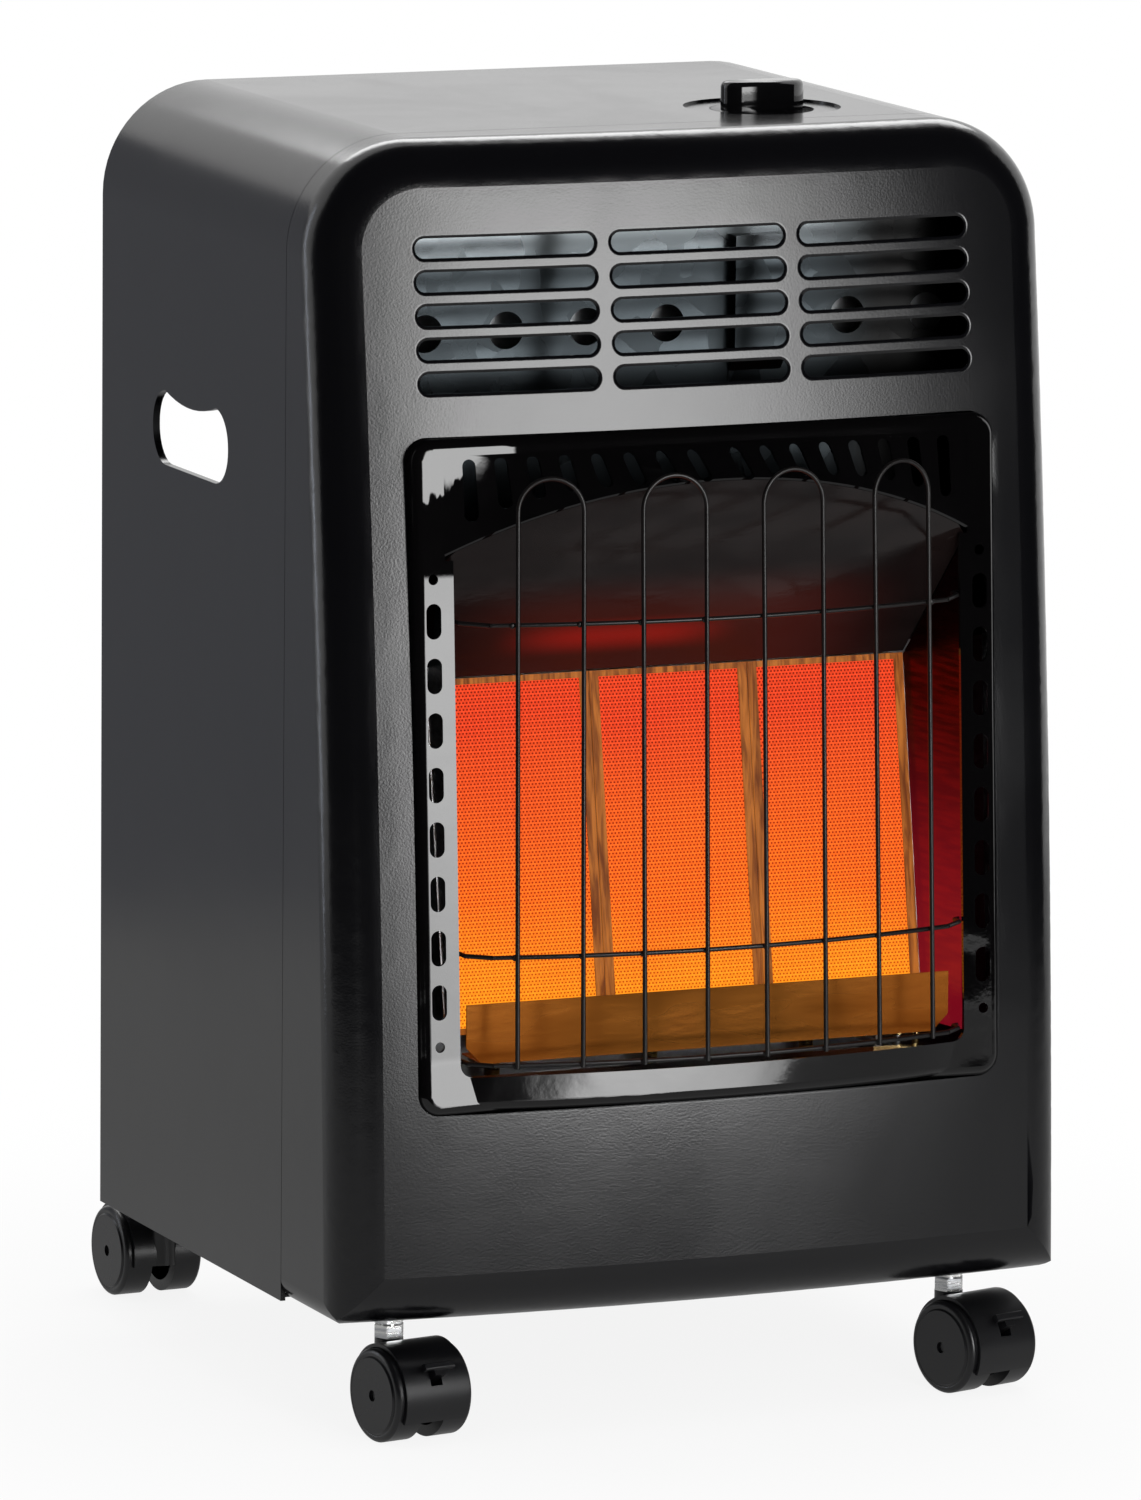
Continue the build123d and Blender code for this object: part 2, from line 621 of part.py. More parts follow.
def bottom_deflector():
    """Reflecting strip that stands in the foot of the opening, with a shelf back to the burners."""
    half = DEFLECTOR_HALF_WIDTH
    strip = Rectangle(2 * half, DEFLECTOR_TOP - DEFLECTOR_BOTTOM)
    strip = Pos(0, (DEFLECTOR_TOP + DEFLECTOR_BOTTOM) / 2) * strip
    strip = chamfer(strip.vertices().group_by(Axis.Y)[0], DEFLECTOR_CHAMFER)
    face = prism_y(strip, DEFLECTOR_Y, DEFLECTOR_Y + THIN_SHEET)
    shelf_back = burner_y(DEFLECTOR_BOTTOM) - FIT_GAP
    shelf_half = half - DEFLECTOR_CHAMFER
    shelf_top = DEFLECTOR_BOTTOM + THIN_SHEET
    shelf = block(-shelf_half, shelf_half, DEFLECTOR_Y, shelf_back, DEFLECTOR_BOTTOM, shelf_top)
    shelf -= upright(PILOT_X, PILOT_Y, 0, CABINET_HEIGHT, PILOT_RADIUS + FIT_GAP)
    for rod_side in (-1, 1):
        x = PILOT_X + rod_side * ROD_SPACING
        shelf -= upright(x, PILOT_Y, 0, CABINET_HEIGHT, THERMOCOUPLE_RADIUS + FIT_GAP)
    return face + shelf


# ---- wire guard -------------------------------------------------------------------------------------
def hairpin(centre_x):
    """One inverted U of guard wire, standing in the bowed surface."""
    half = HAIRPIN_HALF
    slope = 2 * GUARD_BOW * centre_x
    across = Vector(1, slope, 0).normalized()
    up = Vector(0, GUARD_LEAN, 1)
    origin = (centre_x, guard_y(centre_x, HAIRPIN_FOOT), HAIRPIN_FOOT)
    plane = Plane(origin=origin, x_dir=across, z_dir=across.cross(up))
    shoulder = HAIRPIN_TOP - HAIRPIN_FOOT - half
    left = Line((-half, 0), (-half, shoulder))
    crown = ThreePointArc((-half, shoulder), (0, shoulder + half), (half, shoulder))
    right = Line((half, shoulder), (half, 0))
    path = plane * Wire([left.edge(), crown.edge(), right.edge()])
    start = Plane(origin=path @ 0, z_dir=path % 0)
    return sweep(start * Circle(WIRE_RADIUS), path=path)


def cross_wire(z):
    """A bowed wire behind the hairpins, whose ends hook into the side reflectors."""
    half = CROSS_WIRE_HALF
    ends = [(x, guard_y(x, z) + CROSS_WIRE_SET, z) for x in (-half, 0, half)]
    arc = ThreePointArc(*ends)
    start = Plane(origin=arc @ 0, z_dir=arc % 0)
    wire = sweep(start * Circle(WIRE_RADIUS), path=arc)
    hook_y = band_y(z) + HOOK_DEPTH
    neck_x = min(HOOK_X, reflector_x(hook_y, z) - 2 * WIRE_RADIUS)
    tail_x = reflector_x(hook_y, z) + HOOK_TAIL
    for side in (-1, 1):
        points = [
            (side * half, guard_y(half, z) + CROSS_WIRE_SET, z),
            (side * neck_x, band_y(z) - WIRE_RADIUS, z),
            (side * neck_x, hook_y, z),
            (side * tail_x, hook_y, z),
        ]
        wire += tube_along(points, WIRE_RADIUS, HOOK_BEND)
    return wire


def wire_guard():
    """Upright hairpins, each spot-welded to the cross wires that pass behind it."""
    return Compound(children=[hairpin(side * x) for x in HAIRPIN_CENTRES for side in (-1, 1)])


def guard_cross_wires():
    return Compound(children=[cross_wire(z) for z in CROSS_WIRE_HEIGHTS])


# ---- burners -----------------------------------------------------------------------------------------
def burner_plane(x, depth):
    """Plane behind the burner's face: x across, y up the face, z out toward the room."""
    middle = (BURNER_TOP + BURNER_BOTTOM) / 2
    outward = Vector(0, -1, BURNER_SLOPE).normalized()
    plane = Plane(origin=(x, burner_y(middle), middle), x_dir=(1, 0, 0), z_dir=outward)
    return plane.offset(-depth)


def burner(x):
    """Pressed burner box, open in front, with its mixing tube up the back."""
    outer = Rectangle(BURNER_WIDTH, BURNER_LENGTH)
    inner = Rectangle(BURNER_WIDTH - 2 * BURNER_WALL, BURNER_LENGTH - 2 * BURNER_WALL)
    box = extrude(burner_plane(x, THIN_SHEET + SEAT_GAP) * outer, amount=-BURNER_DEPTH)
    tube_low = BURNER_BOTTOM - VENTURI_BELOW
    tube_high = tube_low + VENTURI_LENGTH
    box += upright(x, VENTURI_Y, tube_low, tube_high, VENTURI_RADIUS)
    box -= extrude(burner_plane(x, THIN_SHEET) * inner, amount=-(BURNER_DEPTH - BURNER_WALL))
    bore = VENTURI_RADIUS - VENTURI_WALL
    return box - upright(x, VENTURI_Y, tube_low - OVERRUN, tube_high - VENTURI_WALL, bore)


def plaque(x):
    """Ceramic slab behind the frame."""
    slab = Rectangle(BURNER_WIDTH - 2 * BURNER_WALL - FIT_GAP, BURNER_LENGTH - 2 * BURNER_WALL - FIT_GAP)
    return extrude(burner_plane(x, THIN_SHEET + SEAT_GAP) * slab, amount=-PLAQUE_THICKNESS)


def plaque_frame(x):
    window = Rectangle(BURNER_WIDTH - 2 * FRAME_SIDE, BURNER_LENGTH - 2 * FRAME_END)
    sheet = Rectangle(BURNER_WIDTH, BURNER_LENGTH) - window
    return extrude(burner_plane(x, 0) * sheet, amount=-THIN_SHEET)


def burner_cheek(side):
    """Side plate that carries the row of burners on the heat shield."""
    near = BURNER_ROW_HALF + FIT_GAP
    start = FIT_GAP + 2 * THIN_SHEET
    low = BURNER_BOTTOM
    high = BURNER_TOP - 2 * start
    back = SHIELD_Y - SEAT_GAP
    outline = Polygon(
        (burner_y(low) + start, low),
        (back, low),
        (back, high),
        (burner_y(high) + start, high),
        align=None,
    )
    cheek = prism_x(outline, near, near + THIN_SHEET)
    cheek += block(near, near + CHEEK_FLANGE, back - THIN_SHEET, back, low, high)
    return cheek if side > 0 else mirror(cheek, about=Plane.YZ)


# ---- inner sheets ------------------------------------------------------------------------------------
def flanged_plate(inset, y, low, flange):
    """Upright plate across the cabinet with a flange turned back round its sides and top."""
    window = block(-WIDE, WIDE, y - OVERRUN, y + flange + OVERRUN, low, CABINET_HEIGHT)
    plate = prism_y(cabinet_outline(inset), y, y + THIN_SHEET)
    rim = wall_band(inset, THIN_SHEET, y, y + flange)
    return (plate + rim) & window


def heat_shield():
    plate = flanged_plate(SHEET + FIT_GAP, SHIELD_Y, SHEET + TRAY_SHEET + FIT_GAP, SHIELD_FLANGE)
    front = SHIELD_Y - OVERRUN
    back = SHIELD_Y + 2 * THIN_SHEET
    plate -= prism_y(Pos(MAIN_TUBE_X, MANIFOLD_Z) * Circle(MAIN_TUBE_RADIUS + FIT_GAP), front, back)
    plate -= prism_y(Pos(PILOT_X, PILOT_TUBE_Z) * Circle(PILOT_TUBE_RADIUS + FIT_GAP), front, back)
    slot = SlotOverall(SHIELD_SLOT_LENGTH, SHIELD_SLOT_HEIGHT)
    places = GridLocations(SHIELD_SLOT_PITCH, 1, SHIELD_SLOTS, 1)
    slots = Sketch() + [Pos(0, SHIELD_SLOT_Z) * place * slot for place in places]
    return plate - prism_y(slots, front, back)


def vent_baffle():
    inset = 2 * SHEET + 2 * FIT_GAP
    plate = flanged_plate(inset, BAFFLE_Y, BAFFLE_BOTTOM, BAFFLE_FLANGE)
    groups = ((BAFFLE_HOLE_LEFT, BAFFLE_HOLES_LEFT), (BAFFLE_HOLE_RIGHT, BAFFLE_HOLES_RIGHT))
    for first, count in groups:
        for k in range(count):
            x = first + k * BAFFLE_HOLE_PITCH
            hole = Pos(x, BAFFLE_HOLE_Z) * Circle(BAFFLE_HOLE_RADIUS)
            plate -= prism_y(hole, BAFFLE_Y - OVERRUN, BAFFLE_Y + 2 * THIN_SHEET)
    return plate


def baffle_strap():
    """Bent strap riveted to the front of the baffle."""
    front = BAFFLE_Y - STRAP_STEP
    foot = BAFFLE_Y - THIN_SHEET
    outline = Polyline(
        (foot, STRAP_BOTTOM),
        (BAFFLE_Y, STRAP_BOTTOM),
        (BAFFLE_Y, STRAP_BOTTOM + STRAP_STEP),
        (front + THIN_SHEET, STRAP_BOTTOM + 2 * STRAP_STEP),
        (front + THIN_SHEET, STRAP_TOP - THIN_SHEET),
        (BAFFLE_Y, STRAP_TOP - THIN_SHEET),
        (BAFFLE_Y, STRAP_TOP),
        (front, STRAP_TOP),
        (front, STRAP_BOTTOM + 2 * STRAP_STEP),
        (foot, STRAP_BOTTOM + STRAP_STEP),
        close=True,
    )
    return prism_x(make_face(outline.edges()), STRAP_X - STRAP_WIDTH / 2, STRAP_X + STRAP_WIDTH / 2)


def base_tray():
    bottom = SHEET
    floor_top = bottom + TRAY_SHEET
    half = HALF_WIDTH - 2 * SHEET - 2 * FIT_GAP
    notch = CABINET_BACK - SHEET - FIT_GAP
    main_front = SEAM_Y + SEAM_GAP + 2 * SHEET + FIT_GAP
    tongue_half = HALF_WIDTH - BOTTOM_CORNER_RADIUS - FIT_GAP

    def plan(inset):
        main = Rectangle(2 * (half - inset), notch - main_front - 2 * inset)
        main = Pos(0, (main_front + notch) / 2) * main
        tongue_length = notch - TRAY_FRONT - 2 * inset
        main += Pos(0, (TRAY_FRONT + notch) / 2) * Rectangle(2 * (tongue_half - inset), tongue_length)
        rear_length = TRAY_BACK - TRAY_FRONT - 2 * inset
        rear = Rectangle(2 * (TRAY_REAR_HALF - inset), rear_length)
        rear = Pos(0, (TRAY_FRONT + TRAY_BACK) / 2) * rear
        rear = fillet(rear.vertices().group_by(Axis.Y)[-1], TRAY_REAR_CORNER - inset)
        return main + rear

    tray = prism_z(plan(0), bottom, bottom + TRAY_LIP)
    tray -= prism_z(plan(TRAY_SHEET), floor_top, CABINET_HEIGHT)
    lip_front = SHIELD_Y + THIN_SHEET + FIT_GAP
    tray -= block(-WIDE, WIDE, SEAM_Y - FACE_REACH, lip_front, floor_top, CABINET_HEIGHT)
    ring = Circle(CYLINDER_RING_RADIUS) - Circle(CYLINDER_RING_RADIUS - CYLINDER_RING_WIDTH)
    tray += prism_z(Pos(0, CYLINDER_Y) * ring, floor_top, floor_top + CYLINDER_RING_HEIGHT)
    for x, y in stem_places():
        tray -= upright(x, y, 0, CABINET_HEIGHT, STEM_RADIUS + FIT_GAP)
    return tray


# ---- knob, valve and gas lines -------------------------------------------------------------------------
def control_knob():
    """Round skirt flush in the dish, with a raised bar to grip."""
    skirt_top = CABINET_HEIGHT - DISH_DEPTH
    skirt = upright(KNOB_X, KNOB_Y, skirt_top - KNOB_SKIRT, skirt_top, KNOB_RADIUS)
    grip = Pos(KNOB_X, KNOB_Y) * SlotOverall(GRIP_LENGTH, GRIP_WIDTH)
    bar = prism_z(grip, skirt_top - OVERRUN, skirt_top + GRIP_HEIGHT)
    bar = fillet(bar.faces().sort_by(Axis.Z)[-1].edges(), GRIP_EDGE_RADIUS)
    hub_low = skirt_top - KNOB_SKIRT - KNOB_HUB_LENGTH
    knob = skirt + bar + upright(KNOB_X, KNOB_Y, hub_low, skirt_top, KNOB_HUB_RADIUS)
    return knob - upright(KNOB_X, KNOB_Y, hub_low - OVERRUN, skirt_top, SPINDLE_RADIUS)


def valve_spindle():
    top = CABINET_HEIGHT - DISH_DEPTH
    return upright(KNOB_X, KNOB_Y, SLEEVE_BOTTOM, top, SPINDLE_RADIUS)


def push_sleeve():
    """Sliding sleeve that the spindle turns in and pushes down."""
    bore = SPINDLE_RADIUS + SLIDE_CLEARANCE
    sleeve = upright(KNOB_X, KNOB_Y, SLEEVE_BOTTOM, SLEEVE_TOP, SLEEVE_RADIUS)
    return sleeve - upright(KNOB_X, KNOB_Y, SLEEVE_BOTTOM - OVERRUN, SLEEVE_TOP + OVERRUN, bore)


def gas_valve():
    plan = Pos(KNOB_X, KNOB_Y) * Rectangle(VALVE_WIDTH, VALVE_DEPTH)
    body = prism_z(plan, VALVE_BOTTOM, VALVE_TOP)
    body = fillet(body.edges().filter_by(Axis.Z), VALVE_EDGE_RADIUS)
    body += upright(KNOB_X, KNOB_Y, VALVE_TOP, VALVE_TOP + VALVE_BOSS_HEIGHT, VALVE_BOSS_RADIUS)
    well = SLEEVE_BOTTOM - PUSH_TRAVEL - OVERRUN
    body -= upright(KNOB_X, KNOB_Y, well, CABINET_HEIGHT, SLEEVE_RADIUS + SLIDE_CLEARANCE)
    return body


def valve_bracket():
    """Hanger under the top that holds the valve by its boss."""
    low = VALVE_TOP + FIT_GAP
    high = CABINET_HEIGHT - SHEET
    half_y = BRACKET_WIDTH / 2
    outer = BRACKET_HALF + DISH_RADIUS - KNOB_RADIUS
    plate = block(KNOB_X - outer, KNOB_X + outer, KNOB_Y - half_y, KNOB_Y + half_y, low, low + SHEET)
    for side in (-1, 1):
        x0 = KNOB_X + side * outer
        x1 = KNOB_X + side * (outer - SHEET)
        x2 = KNOB_X + side * (outer + BRACKET_FOOT)
        plate += block(min(x0, x1), max(x0, x1), KNOB_Y - half_y, KNOB_Y + half_y, low, high)
        plate += block(min(x1, x2), max(x1, x2), KNOB_Y - half_y, KNOB_Y + half_y, high - SHEET, high)
    return plate - upright(KNOB_X, KNOB_Y, low - OVERRUN, low + 2 * SHEET, VALVE_BOSS_RADIUS + FIT_GAP)


def inlet_fitting():
    """Flare fitting on the back of the valve, for the regulator's hose."""
    seat = KNOB_Y + VALVE_DEPTH / 2
    shoulder = seat + INLET_HEX_LENGTH
    end = shoulder + INLET_LENGTH
    place = Pos(KNOB_X, INLET_Z)
    hexagon = RegularPolygon(INLET_HEX / 2, 6, major_radius=False)
    nose = prism_y(place * Circle(INLET_RADIUS), shoulder, end)
    nose = chamfer(nose.faces().sort_by(Axis.Y)[-1].edges(), INLET_BORE)
    fitting = prism_y(place * hexagon, seat, shoulder) + nose
    return fitting - prism_y(place * Circle(INLET_BORE), seat + OVERRUN, end + OVERRUN)


def gas_manifold():
    """Pipe under the burners, with two tabs back to the heat shield."""
    half = BURNER_PITCH + MANIFOLD_OVERHANG
    pipe = prism_x(Pos(VENTURI_Y, MANIFOLD_Z) * Circle(MANIFOLD_RADIUS), -half, half)
    for side in (-1, 1):
        x = side * BURNER_PITCH / 2
        left = x - MANIFOLD_TAB / 2
        right = x + MANIFOLD_TAB / 2
        pipe += block(left, right, VENTURI_Y, SHIELD_Y, MANIFOLD_Z, MANIFOLD_Z + SHEET)
    return pipe


def injector(x):
    low = MANIFOLD_Z + MANIFOLD_RADIUS
    nozzle = upright(x, VENTURI_Y, low - FIT_GAP, low + INJECTOR_LENGTH, INJECTOR_RADIUS)
    nozzle = chamfer(nozzle.faces().sort_by(Axis.Z)[-1].edges(), INJECTOR_RADIUS / 2)
    pipe = Pos(VENTURI_Y, MANIFOLD_Z) * Circle(MANIFOLD_RADIUS)
    return nozzle - prism_x(pipe, x - VENTURI_RADIUS, x + VENTURI_RADIUS)


def main_tube():
    """Gas line from the valve down the back of the shield and through it to the manifold."""
    valve_x = KNOB_X - MAIN_TUBE_OFFSET
    points = [
        (valve_x, KNOB_Y - VALVE_DEPTH / 2, VALVE_BOTTOM + TUBE_BEND),
        (valve_x, MAIN_TUBE_Y, VALVE_BOTTOM + TUBE_BEND),
        (MAIN_TUBE_X, MAIN_TUBE_Y, MANIFOLD_Z),
        (MAIN_TUBE_X, VENTURI_Y, MANIFOLD_Z),
    ]
    line = tube_along(points, MAIN_TUBE_RADIUS, MAIN_TUBE_BEND)
    half = BURNER_PITCH + MANIFOLD_OVERHANG
    return line - prism_x(Pos(VENTURI_Y, MANIFOLD_Z) * Circle(MANIFOLD_RADIUS), -half, half)


def pilot_tube():
    valve_side = KNOB_X + VALVE_WIDTH / 2
    beside = valve_side + PILOT_TUBE_OUT
    points = [
        (valve_side, PILOT_TUBE_Y + TUBE_BEND, VALVE_BOTTOM + TUBE_BEND),
        (beside, PILOT_TUBE_Y + TUBE_BEND, VALVE_BOTTOM + TUBE_BEND),
        (beside, PILOT_TUBE_Y, VALVE_BOTTOM),
        (PILOT_X, PILOT_TUBE_Y, PILOT_TUBE_Z),
        (PILOT_X, PILOT_Y, PILOT_TUBE_Z),
        (PILOT_X, PILOT_Y, DEFLECTOR_BOTTOM - 2 * PILOT_TUBE_RADIUS),
    ]
    return tube_along(points, PILOT_TUBE_RADIUS, 2 * PILOT_TUBE_RADIUS)


def pilot_burner():
    """Pilot nozzle on a small plate under the deflector's shelf."""
    low = DEFLECTOR_BOTTOM - 2 * PILOT_TUBE_RADIUS
    body = upright(PILOT_X, PILOT_Y, low, low + PILOT_HEIGHT, PILOT_RADIUS)
    reach = ROD_SPACING + PILOT_RADIUS
    top = DEFLECTOR_BOTTOM
    plan = Pos(PILOT_X, PILOT_Y) * Rectangle(2 * reach, 2 * PILOT_RADIUS)
    plate = prism_z(plan, top - SHEET, top)
    for side, radius in ((-1, ELECTRODE_RADIUS), (1, THERMOCOUPLE_RADIUS)):
        plate -= upright(PILOT_X + side * ROD_SPACING, PILOT_Y, 0, CABINET_HEIGHT, radius)
    return body + plate


def pilot_rod(side, radius):
    low = DEFLECTOR_BOTTOM - ROD_BELOW
    high = DEFLECTOR_BOTTOM + PILOT_HEIGHT
    return upright(PILOT_X + side * ROD_SPACING, PILOT_Y, low, high, radius)


def tilt_switch():
    """Tip-over switch on the tray behind the heat shield."""
    width, depth, height = SWITCH_SIZE
    low = SHEET + TRAY_SHEET
    back = SHIELD_Y + THIN_SHEET
    case = block(SWITCH_X - width / 2, SWITCH_X + width / 2, back, back + depth, low, low + height)
    return fillet(case.edges().filter_by(Axis.Z), SHEET)


# ---- casters -----------------------------------------------------------------------------------------
def stem_places():
    return [
        (-FRONT_STEM_X, FRONT_STEM_Y),
        (FRONT_STEM_X, FRONT_STEM_Y),
        (-REAR_STEM_X, REAR_STEM_Y),
        (REAR_STEM_X, REAR_STEM_Y),
    ]


def stem_seat(y):
    """Underside that the jam nut clamps: the panel's floor in front, the tray behind."""
    return 0.0 if y < SEAM_Y else SHEET


def hex_nut(x, y, bottom, height):
    nut = prism_z(Pos(x, y) * RegularPolygon(NUT_FLATS / 2, 6, major_radius=False), bottom, bottom + height)
    return nut - upright(x, y, bottom - OVERRUN, bottom + height + OVERRUN, STEM_RADIUS)


def stem(x, y):
    """Threaded stem with its own hexagon, and a plain pin that the caster swivels on."""
    seat = FLOOR_Z + COLLAR_TOP + FIT_GAP
    shaft = upright(x, y, seat, SHEET + TRAY_SHEET + STEM_ABOVE, STEM_RADIUS)
    flats = RegularPolygon(NUT_FLATS / 2, 6, major_radius=False)
    shaft += prism_z(Pos(x, y) * flats, seat, seat + NUT_HEIGHT)
    return shaft + upright(x, y, FLOOR_Z + STEM_PIN_BOTTOM, seat, STEM_PIN_RADIUS)


def stem_nuts():
    nuts = []
    for x, y in stem_places():
        nuts.append(hex_nut(x, y, stem_seat(y) - NUT_HEIGHT, NUT_HEIGHT))
        nuts.append(hex_nut(x, y, SHEET + TRAY_SHEET, NUT_HEIGHT))
    return Compound(children=nuts)


def on_axle(radius, start, end):
    """Cylinder on the caster's axle, in caster coordinates: x along the axle, z from the floor."""
    return Pos((start + end) / 2, -CASTER_TRAIL, WHEEL_RADIUS) * Rot(0, 90, 0) * Cylinder(radius, end - start)


def caster_hood():
    """Twin-wheel hood: a part ring over the wheels on a middle web with the stem's collar."""
    half = HOOD_WIDTH / 2
    inner = HOOD_RADIUS - HOOD_WALL
    hood = on_axle(HOOD_RADIUS, -half, half)
    wheel_room = on_axle(inner, HOOD_WEB / 2, half + OVERRUN)
    wheel_room += on_axle(inner, -half - OVERRUN, -HOOD_WEB / 2)
    collar_low = WHEEL_RADIUS - HOOD_LOW_LEADING
    hood += upright(0, 0, collar_low, COLLAR_TOP, COLLAR_RADIUS)
    reach = 2 * HOOD_RADIUS
    tilt = (HOOD_LOW_TRAILING - HOOD_LOW_LEADING) / 2
    lower = Polygon(
        (-CASTER_TRAIL - reach, WHEEL_RADIUS - HOOD_LOW_TRAILING - tilt),
        (-CASTER_TRAIL + reach, WHEEL_RADIUS - HOOD_LOW_LEADING + tilt),
        (-CASTER_TRAIL + reach, -reach),
        (-CASTER_TRAIL - reach, -reach),
        align=None,
    )
    hood -= prism_x(lower, -reach, reach)
    hood -= wheel_room
    hood += on_axle(AXLE_RADIUS + HOOD_WALL, -HOOD_WEB / 2, HOOD_WEB / 2)
    hood -= on_axle(AXLE_RADIUS, -half, half)
    return hood - upright(0, 0, 0, COLLAR_TOP + OVERRUN, STEM_PIN_RADIUS + SLIDE_CLEARANCE)


def lever_pivot():
    """Centre of the brake lever's pin in caster coordinates, on the trailing side of the hood."""
    turn = math.radians(LEVER_ANGLE)
    y = -CASTER_TRAIL - LEVER_PIVOT_RADIUS * math.sin(turn)
    return (y, WHEEL_RADIUS + LEVER_PIVOT_RADIUS * math.cos(turn))


def brake_lever():
    """T-shaped pedal: a stalk pivoted in the hood's web with a broad tread outside."""
    y, z = lever_pivot()
    stalk_width = HOOD_WEB / 2
    side_view = Pos(LEVER_REACH / 2, 0) * Rectangle(LEVER_REACH, LEVER_STALK) + Circle(LEVER_STALK / 2)
    tread_view = Rectangle(LEVER_TREAD, LEVER_TREAD)
    tread_view = fillet(tread_view.vertices(), LEVER_TREAD / 4)
    tread_view = Pos(LEVER_REACH, (LEVER_TREAD - LEVER_STALK) / 2) * tread_view
    lever = prism_x(side_view, -stalk_width / 2, stalk_width / 2)
    lever += prism_x(tread_view, -LEVER_WIDTH / 2, LEVER_WIDTH / 2)
    lever -= Rot(0, 90, 0) * Cylinder(LEVER_PIN_RADIUS + SLIDE_CLEARANCE, HOOD_WIDTH)
    return Pos(0, y, z) * Rot(90 + LEVER_ANGLE, 0, 0) * lever


def lever_room():
    """Slot in the hood for the lever's stalk, wide enough for its travel."""
    y, z = lever_pivot()
    width = HOOD_WEB / 2 + 2 * LEVER_SLOT
    height = LEVER_STALK + 2 * LEVER_SLOT
    reach = 2 * LEVER_REACH
    room = Pos(0, reach / 2, 0) * Box(width, reach, height)
    room += Rot(0, 90, 0) * Cylinder(height / 2, width)
    slot = Rot(90 + LEVER_ANGLE, 0, 0) * room + Rot(90 + LEVER_ANGLE + LEVER_TRAVEL, 0, 0) * room
    return Pos(0, y, z) * slot


def wheel(side):
    """One of the twin wheels: a tread with a domed outer disc and a recessed inner side."""
    outer = WHEEL_INNER + WHEEL_WIDTH
    bore = AXLE_RADIUS + AXLE_CLEARANCE
    web = WHEEL_INNER + HUB_RECESS_DEPTH
    hub = AXLE_RADIUS + HOOD_WALL
    edge_a = outer - WHEEL_EDGE
    edge_r = WHEEL_RADIUS - WHEEL_EDGE
    profile = Polyline(
        (WHEEL_INNER, bore),
        (WHEEL_INNER, hub),
        (web, hub),
        (web, HUB_RECESS_RADIUS),
        (WHEEL_INNER, HUB_RECESS_RADIUS),
        (WHEEL_INNER, WHEEL_RADIUS),
        (edge_a - WHEEL_DISC_STEP, WHEEL_RADIUS),
    )
    dome = ThreePointArc(
        (edge_a - WHEEL_DISC_STEP, WHEEL_RADIUS),
        ((edge_a + outer) / 2 - WHEEL_DISC_STEP / 2, (WHEEL_RADIUS + edge_r) / 2),
        (outer - WHEEL_DISC_STEP, edge_r - WHEEL_EDGE),
    )
    cap = Polyline(
        (outer - WHEEL_DISC_STEP, edge_r - WHEEL_EDGE),
        (outer - WHEEL_DISC_STEP, WHEEL_DISC),
        (outer, WHEEL_DISC - WHEEL_DISC_STEP),
        (outer, bore),
        (WHEEL_INNER, bore),
    )
    section = Plane.XY * make_face([*profile.edges(), dome, *cap.edges()])
    body = revolve(section, Axis.X)
    body = Pos(0, -CASTER_TRAIL, WHEEL_RADIUS) * body
    return body if side > 0 else mirror(body, about=Plane.YZ)


def caster(name, heading, x, y):
    """All pieces of one caster, turned to its heading and set under its stem."""
    front = y < SEAM_Y
    hood = caster_hood()
    pieces = {}
    if front:
        pivot_y, pivot_z = lever_pivot()
        hood -= lever_room()
        hood += Pos(0, pivot_y, pivot_z) * Rot(0, 90, 0) * Cylinder(LEVER_PIN_RADIUS, HOOD_WEB)
        pieces[name + "_brake_lever"] = brake_lever()
    pieces[name + "_caster_hood"] = hood
    axle_half = WHEEL_INNER + WHEEL_WIDTH - AXLE_PROUD
    pieces[name + "_axle"] = on_axle(AXLE_RADIUS, -axle_half, axle_half)
    outward = 1 if x > 0 else -1
    outer_side = outward if front else -outward
    pieces[name + "_outer_wheel"] = wheel(outer_side)
    pieces[name + "_inner_wheel"] = wheel(-outer_side)
    place = Pos(x, y, FLOOR_Z) * Rot(0, 0, heading)
    return {node: place * piece for node, piece in pieces.items()}


# ---- assembly -----------------------------------------------------------------------------------------
def build():
    """Every node of the heater, in the cabinet's drawing frame."""
    nodes = {
        "cabinet_wrap": cabinet_wrap(),
        "front_panel": front_panel(),
        "surround_bezel": surround_bezel(),
        "hood_reflector": hood_reflector(),
        "side_reflector_left": side_reflector(-1),
        "side_reflector_right": side_reflector(1),
        "bottom_deflector": bottom_deflector(),
        "wire_guard": wire_guard(),
        "guard_cross_wires": guard_cross_wires(),
        "burner_cheeks": Compound(children=[burner_cheek(-1), burner_cheek(1)]),
        "heat_shield": heat_shield(),
        "vent_baffle": vent_baffle(),
        "baffle_strap": baffle_strap(),
        "base_tray": base_tray(),
        "control_knob": control_knob(),
        "valve_spindle": valve_spindle(),
        "push_sleeve": push_sleeve(),
        "gas_valve": gas_valve(),
        "valve_bracket": valve_bracket(),
        "gas_inlet_fitting": inlet_fitting(),
        "gas_manifold": gas_manifold(),
        "main_gas_tube": main_tube(),
        "pilot_gas_tube": pilot_tube(),
        "pilot_burner": pilot_burner(),
        "igniter_electrode": pilot_rod(-1, ELECTRODE_RADIUS),
        "thermocouple": pilot_rod(1, THERMOCOUPLE_RADIUS),
        "tilt_switch": tilt_switch(),
        "caster_stems": Compound(children=[stem(x, y) for x, y in stem_places()]),
        "stem_nuts": stem_nuts(),
    }
    columns = {"left": -BURNER_PITCH, "middle": 0.0, "right": BURNER_PITCH}
    for name, x in columns.items():
        nodes["burner_" + name] = burner(x)
        nodes["plaque_" + name] = plaque(x)
        nodes["plaque_frame_" + name] = plaque_frame(x)
    nodes["gas_injectors"] = Compound(children=[injector(x) for x in columns.values()])
    for (name, heading), (x, y) in zip(CASTER_HEADINGS.items(), stem_places()):
        nodes.update(caster(name, heading, x, y))
    return nodes


